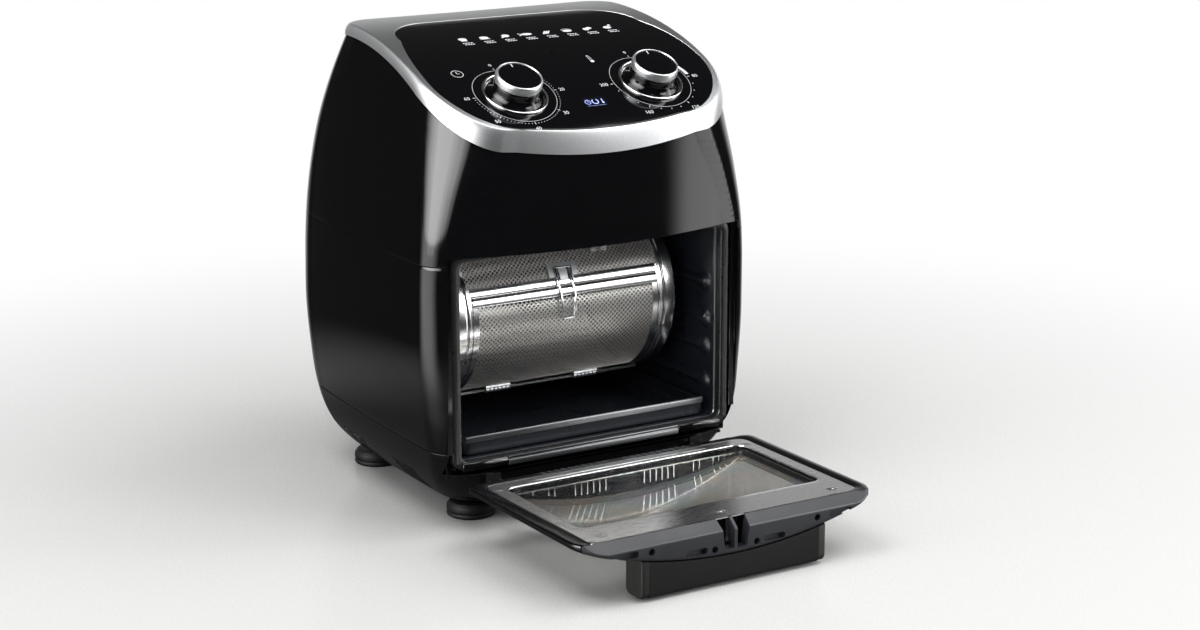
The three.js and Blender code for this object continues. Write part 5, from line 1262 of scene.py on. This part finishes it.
def rail():
    """P(x, k): the free end's section, bowed outside and chamfered inside, carried across the door."""
    wide, _, high, _, r = DOOR
    end = np.linspace(wide - r, 143.1, 40)
    x = np.concatenate([-end[::-1], np.linspace(r - wide, wide - r, 90)[1:-1], end])
    over = np.maximum(np.abs(x) - (wide - r), 0)
    top = high - (r - np.sqrt(r ** 2 - np.minimum(over, r - 0.1) ** 2))
    rows = []
    for xi, zt in zip(x, top):
        f = float(bow(xi))
        zt = max(zt, SPLIT + 0.6)
        slope = (zt - SPLIT) / (high - SPLIT)
        section = [(f + 0.3, SPLIT), (f, SPLIT + 0.4), (f, max(zt - 2.2, SPLIT + 0.45)), (f + 2.0, zt),
                   (13.9 - 7 * slope - 0.8, zt), (13.7, SPLIT + 0.5), (13.7, SPLIT)]
        rows.append([(xi, y, z) for y, z in smooth_profile(section, 1.6, 4)])
    points, faces = capped(rows, flip=True)
    obj = piece("door_rail", lay(points), faces, "door_top_rail", instead=True, angle=30)
    slot_specs = ((107.3, 1.2, 24, 6), (39, -8.2, 22, 5.6), (83, 0.6, 6.1, 6), (21, -9, 6.1, 6))
    tools = [stadium(s * x, y, length, width, 201.6, 215) for x, y, length, width in slot_specs for s in (-1, 1)]
    # the openings at either side of the rail's middle web, wider towards the inside
    for s in (-1, 1):
        shape = np.array([(1.3, -11), (11, -11), (16.5, 30), (1.3, 30)]) * [s, 1]
        points = np.array([np.column_stack([shape, np.full(4, z)]) for z in (190, 215)]).reshape(-1, 3)
        f = [[0, 1, 5, 4], [1, 2, 6, 5], [2, 3, 7, 6], [3, 0, 4, 7], [3, 2, 1, 0], [4, 5, 6, 7]]
        tools.append((points, f if s > 0 else [q[::-1] for q in f]))
    apply_cut(obj, [(lay(p), f) for p, f in tools])


rail()


# The handle's outer face, its low edge and its top, in the shut door
HANDLE_OUT, HANDLE_LOW, HANDLE_TOP = -39.8, 181, 206
cap_grey = metal("cap_grey", (0.11, 0.107, 0.104), 0.38, 0.44, (1, 1, 1), 0.02, 300)
grip_brown = satin("grip_brown", (0.006, 0.0052, 0.005), 0.34, 0.37, 700, 0.02)


def handle():
    """P(x, k): an angle section, front wall and top plate, its outer corner rounded, with a grey cap at each end."""
    rows = []
    for xi in np.linspace(-84.7, 84.7, 60):
        f = float(bow(xi)) - 0.3
        section = [(f, HANDLE_TOP), (HANDLE_OUT, HANDLE_TOP), (HANDLE_OUT, HANDLE_LOW), (HANDLE_OUT + 4, HANDLE_LOW),
                   (HANDLE_OUT + 4, HANDLE_TOP - 4), (f, HANDLE_TOP - 4)]
        rows.append([(xi, y, z) for y, z in smooth_profile(section, 4.0, 6)])
    points, faces = capped(rows)
    piece("handle_grip", lay(points), faces, "door_handle", look=grip_brown, instead=True, angle=40)
    for name, side in (("left", -1), ("right", 1)):
        rows = []
        for xi, inset in ((85, 0), (91.2, 0), (91.8, 0.3), (92, 0.9)):
            f, out = float(bow(xi)) - 0.3, HANDLE_OUT + inset
            low, high = HANDLE_LOW + inset, HANDLE_TOP - inset
            section = np.array([(f, high), (out, high), (out, low), (f, low)])
            rows.append([(side * xi, y, z) for y, z in smooth_profile(section, 6.5, 8)])
        points = np.array(rows)
        n = points.shape[1]
        faces = grid_faces(*points.shape[:2], around=True, flip=side < 0)
        faces += [list(range(n)), list(range((len(rows) - 1) * n, len(rows) * n))]
        piece(f"{name}_handle_cap", lay(points), faces, f"{name}_handle_end", look=cap_grey, instead=True)
    ticks = [upended(*box(x - 0.4, x + 0.4, 181.6, 187.5, -39.98, -39.7, 0.1)) for x in (-66, -22, 24, 66)]
    points, faces = merge(*ticks)
    piece("handle_ticks", lay(points), faces, "door_handle", look=LOOKS["base_black"])


handle()

# ---------------------------------------------------------------- cavity, mouth and small parts

dark_iron = satin("dark_iron", (0.02, 0.02, 0.021), 0.3, 0.4, 300, 0.05, 0.6)
edge_grey = metal("edge_grey", (0.34, 0.35, 0.36), 0.34, 0.38, (1, 1, 1), 0.01, 300)
soft_steel = metal("soft_steel", (0.2, 0.205, 0.21), 0.36, 0.42, (1, 40, 40), 0.01, 60)
liner_blue = gloss("liner_blue", (0.012, 0.0135, 0.018), 0.27, 0.29)


def cup(inner, y0, y1, wall, rib):
    """P(v, s): a box open in front: outer ring, front edge, inner ring, ribs rib(z, y) pressed in at the sides."""
    centre = inner.mean(0)
    outer = centre + (inner - centre) * (1 + wall / np.abs(inner - centre).max(0))
    rows = [(centre + (outer - centre) * u, y1 + wall) for u in (0.01, 0.5, 0.98)]
    rows += [(outer, y) for y in (y1, y0 + 0.4)] + [(inner + (outer - inner) * 0.5, y0)]
    depths = (np.linspace(y0 + 0.4, y1, 24), np.linspace(20, 44, 26), np.linspace(240, 254, 12))
    rows += [(inner, y) for y in np.unique(np.concatenate(depths))]
    rows += [(centre + (inner - centre) * u, y1) for u in (0.98, 0.5, 0.01)]
    points = rings(*rows)
    side = (np.abs(points[..., 0]) > np.abs(inner[:, 0]).max() - 0.05) & (points[..., 1] < y1)
    points[..., 0] -= np.sign(points[..., 0]) * side * rib(points[..., 2], points[..., 1])
    return capped(points, flip=True)


def rack_rib(z, y):
    """Height of the pressed racks: a rounded ridge over z, and over y a ridge that swells at its front end."""
    wide = 4 + 4.5 * np.exp(-((y - 29) / 8) ** 2)
    across = np.max([np.clip(1 - ((z - c) / wide) ** 2, 0, 1) for c in (96, 129, 155, 190)], 0)
    along = np.clip((y - 21) / 8, 0, 1) * np.clip((250 - y) / 5, 0, 1)
    return 3.6 * across * np.sin(along * math.pi / 2)


MOUTH_HALF, MOUTH_LOW, MOUTH_HIGH = 134.6, 67, 246.7
ring = rounded(MOUTH_HALF, MOUTH_LOW, 292, 7, 12, 12, 130)
points, faces = cup(ring, 14.2, 268, 1.1, rack_rib)
piece("liner", points, faces, "cavity_liner", look=liner_blue, instead=True, angle=60)

specs = []
for wide, y in ((9.1, 13.9), (9.1, 8), (8.9, 7), (8.3, 6.1), (7.2, 5.65), (1.6, 5.65), (0.7, 5.9), (0.2, 6.6),
                (0, 7.6), (0, 13.9), (9.1, 13.9)):
    specs.append((rounded(MOUTH_HALF + wide, MOUTH_LOW - wide * 0.87, MOUTH_HIGH + wide * 0.43, 7 + wide * 0.8,
                          6 + wide * 0.3, 12, 40), y))
points = rings(*specs)
piece("flange", points, grid_faces(*points.shape[:2], around=True), "front_flange", instead=True)
edge_section = ((-0.3, 14.6), (0.8, 14.6), (1.3, 14.2), (1.3, 13.5), (0.8, 13.1), (-0.3, 13.1), (-0.3, 14.6))
line = rings(*[(rounded(134.5 - a, 67.02 + a * 0.12, 246.6 - a, 7 - a, 6 - a, 12, 40), y) for a, y in edge_section])
piece("mouth_edge", line, grid_faces(*line.shape[:2], around=True), "cavity_liner", look=edge_grey)

a = np.radians(np.linspace(0, 90, 14))
corner = np.stack([129.1 + 10 * np.cos(a), 238.4 + 10 * np.sin(a)], -1)
path = np.concatenate([np.stack([np.full(20, 139.1), np.linspace(67.2, 238, 20)], -1), corner,
                       np.stack([np.linspace(128.6, -128.6, 30), np.full(30, 248.4)], -1), corner[::-1] * [-1, 1],
                       np.stack([np.full(20, -139.1), np.linspace(238, 67.2, 20)], -1)])
d = np.gradient(path, axis=0)
side = np.stack([d[:, 1], -d[:, 0]], -1) / np.hypot(*d.T)[:, None]
section = smooth_profile([(-0.6, 5.3), (-2.2, 5.3), (-2.2, 4.6), (-1, 4.6), (-0.9, 3.5), (0.9, 3.5), (1, 4.6),
                          (2.2, 4.6), (2.2, 5.3), (-0.5, 5.3)], 0.5, 3)
points = np.array([np.column_stack([path[:, 0] + side[:, 0] * w, np.full(len(path), y), path[:, 1] + side[:, 1] * w])
                   for w, y in section]).transpose(1, 0, 2)
piece("seal_strip", *capped(points, flip=True), "door_seal", instead=True)


def along_x(section, x0, x1, inset=0.5):
    """P(x, k): a section of (y, z) points carried along x, drawn in a little at both ends."""
    section = np.asarray(section, float)
    middle = section.mean(0)
    rows = []
    for x, k in ((x0, inset), (x0 + inset * 0.4, inset * 0.4), (x0 + inset, 0), (x1 - inset, 0),
                 (x1 - inset * 0.4, inset * 0.4), (x1, inset)):
        drawn = section - np.sign(section - middle) * k
        rows.append(np.column_stack([np.full(len(section), x), drawn]))
    return capped(rows)


sill = smooth_profile([(6, 66.5), (8.4, 66.5), (8.4, 58.1), (4.2, 58.1), (3.6, 59.4), (3.6, 63), (4.6, 63.4),
                       (4.6, 65), (4.0, 65.3), (4.0, 66.5), (5.9, 66.5)], 0.5, 3)
piece("sill_strip", *along_x(sill[::-1], -88.6, 88.6, 0.3), "front_sill", look=soft_steel, instead=True,
      angle=50)
a = np.radians(np.linspace(80, 280, 24))
cover = np.stack([6.4 + 2.85 * np.cos(a), 62.3 + 4.2 * np.sin(a)], -1)
cover = np.concatenate([[(8.4, 66.5)], cover, [(8.4, 58.1)]])
for name, sign in (("left", -1), ("right", 1)):
    x0, x1 = sorted((sign * 89.1, sign * 134.5))
    piece(f"{name}_cover", *along_x(cover, x0, x1, 0.8), f"{name}_hinge_cover", look=LOOKS["gloss_black"],
          instead=True, angle=60)


def tray():
    """P(v, s): a shallow pan: floor, sloping walls, rolled lip, and a taller satin lip along its front."""
    rows = []
    for inset, z in ((90, 67.5), (6, 67.5), (2.6, 68.4), (1.2, 71), (1.0, 79.6), (0.4, 81.0), (1.2, 81.25),
                     (2.4, 80.6), (2.2, 71.5), (3.6, 69.6), (8, 68.9), (90, 68.9)):
        corner = max(9 - inset, 1)
        r = rounded(128 - inset, 17 + inset, 262 - inset, corner, corner, 10, 30)
        rows.append(np.column_stack([r, np.full(len(r), z)]))
    piece("tray_pan", *capped(rows), "drip_tray", look=liner_blue, instead=True)
    lip = smooth_profile([(17.9, 79.5), (17.2, 79.5), (17.2, 84.2), (18.2, 85.2), (19.2, 85), (19.2, 84.2), (18, 84),
                          (17.9, 79.6)], 0.6, 4)
    piece("tray_lip", *along_x(lip[::-1], -124, 124, 0.4), "drip_tray", look=soft_steel, angle=60)


tray()

foot = smooth_profile([(0, 0.05), (20, 0.05), (21.6, 1), (22, 3), (21, 4), (21, 5), (21.9, 6), (21.6, 10),
                       (19, 13.6), (0, 13.7)], 0.7, 3)
for name, x, y in (("front_left", -98, 58), ("front_right", 98, 58), ("rear_left", -98, 240), ("rear_right", 98, 240)):
    points, faces = turned(foot[::-1], (x, y, 0), (0, 0, 1), (1, 0, 0), 72)
    piece(f"{name}_pad", points, faces, f"{name}_foot", instead=True)

for name, obj in frame["nodes"].items():
    if "hinge_arm" in name or "hinge_bracket" in name or "hinge_pin" in name:
        paint(obj, dark_iron)

# ---------------------------------------------------------------- floor and finish


def per(nodes, links, top, bottom):
    """The ratio of two values."""
    node = nodes.new("ShaderNodeMath")
    node.operation = "DIVIDE"
    links.new(top, node.inputs[0])
    links.new(bottom, node.inputs[1])
    return node.outputs[0]


def floor():
    """A pale glossy table: it turns white with distance, and mirrors see it only near the oven and behind it. What
    mirrors see is partly painted light: a near-black glow close round the oven and in front of it is painted shade in
    the reflections, and a white glow far behind it, brighter far out at either side, is a painted reflection of bright
    panels there.
    """
    mesh = bpy.data.meshes.new("floor")
    corners = [(ROOM * x, ROOM * y, 0) for x, y in ((-1, -1), (1, -1), (1, 1), (-1, 1))]
    mesh.from_pydata(corners, [], [(0, 1, 2, 3)])
    obj = bpy.data.objects.new("floor", mesh)
    scene.collection.objects.link(obj)
    look = Look("floor", (0.74, 0.74, 0.73), 0.3)
    look.rough(look.noise(900, (1, 1, 1), 0), 0.27, 0.29)
    nodes, links = look.nodes, look.links
    camera_ray, mirror_ray = glossy_or_clear(nodes, links)
    behind = toward(nodes, links, look.coords, BACKDROP)
    away = nodes.new("ShaderNodeVectorMath")
    away.operation = "LENGTH"
    links.new(look.coords, away.inputs[0])
    away = away.outputs["Value"]
    white = ramp(nodes, links, away, 0.3, 1.15, 0, 1)
    back_side = ramp(nodes, links, per(nodes, links, behind, away), *BACKDROP_EDGE, 0, 1)
    # painted reflection: far out at either side, mirrors see the floor glow 4 and 3.2 times white
    power = 1.0
    for side, low, full in (((-0.996, 0.09, 0), 0.8, 4.0), ((0.866, -0.5, 0), 0.975, 3.2)):
        cosine = per(nodes, links, toward(nodes, links, look.coords, side), away)
        aimed = ramp(nodes, links, cosine, low, 0.998, 0, 1)
        back_side = blend(nodes, links, aimed, back_side, 1.0)
        power = blend(nodes, links, aimed, power, full)
    lit = nodes.new("ShaderNodeEmission")
    lit.inputs["Color"].default_value = (1, 1, 1, 1)
    power = blend(nodes, links, mirror_ray, 1.0, power)
    links.new(blend(nodes, links, camera_ray, power, 1.0), lit.inputs["Strength"])
    white_share = blend(nodes, links, mirror_ray, 0.0, blend(nodes, links, back_side, 0.0, white))
    white_share = blend(nodes, links, camera_ray, white_share, white)
    near = nodes.new("ShaderNodeMixShader")
    links.new(white_share, near.inputs[0])
    links.new(look.shader.outputs[0], near.inputs[1])
    links.new(lit.outputs[0], near.inputs[2])
    # painted shade in reflections: mirrors see a near-black glow, 85 per cent of the floor close round the oven, and
    # in front of it further out
    dark = nodes.new("ShaderNodeEmission")
    dark.inputs["Strength"].default_value = 0.03
    painted_shade_share = blend(nodes, links, back_side, ramp(nodes, links, away, 0.3, 0.75, 0, 1), 0.0)
    painted_shade_share = blend(nodes, links, ramp(nodes, links, away, 0.34, 0.6, 0, 1), 0.85, painted_shade_share)
    painted_shade_share = blend(nodes, links, mirror_ray, 0.0, painted_shade_share)
    last = nodes.new("ShaderNodeMixShader")
    links.new(painted_shade_share, last.inputs[0])
    links.new(near.outputs[0], last.inputs[1])
    links.new(dark.outputs[0], last.inputs[2])
    links.new(last.outputs[0], nodes["Material Output"].inputs["Surface"])
    paint(obj, look.material)


floor()
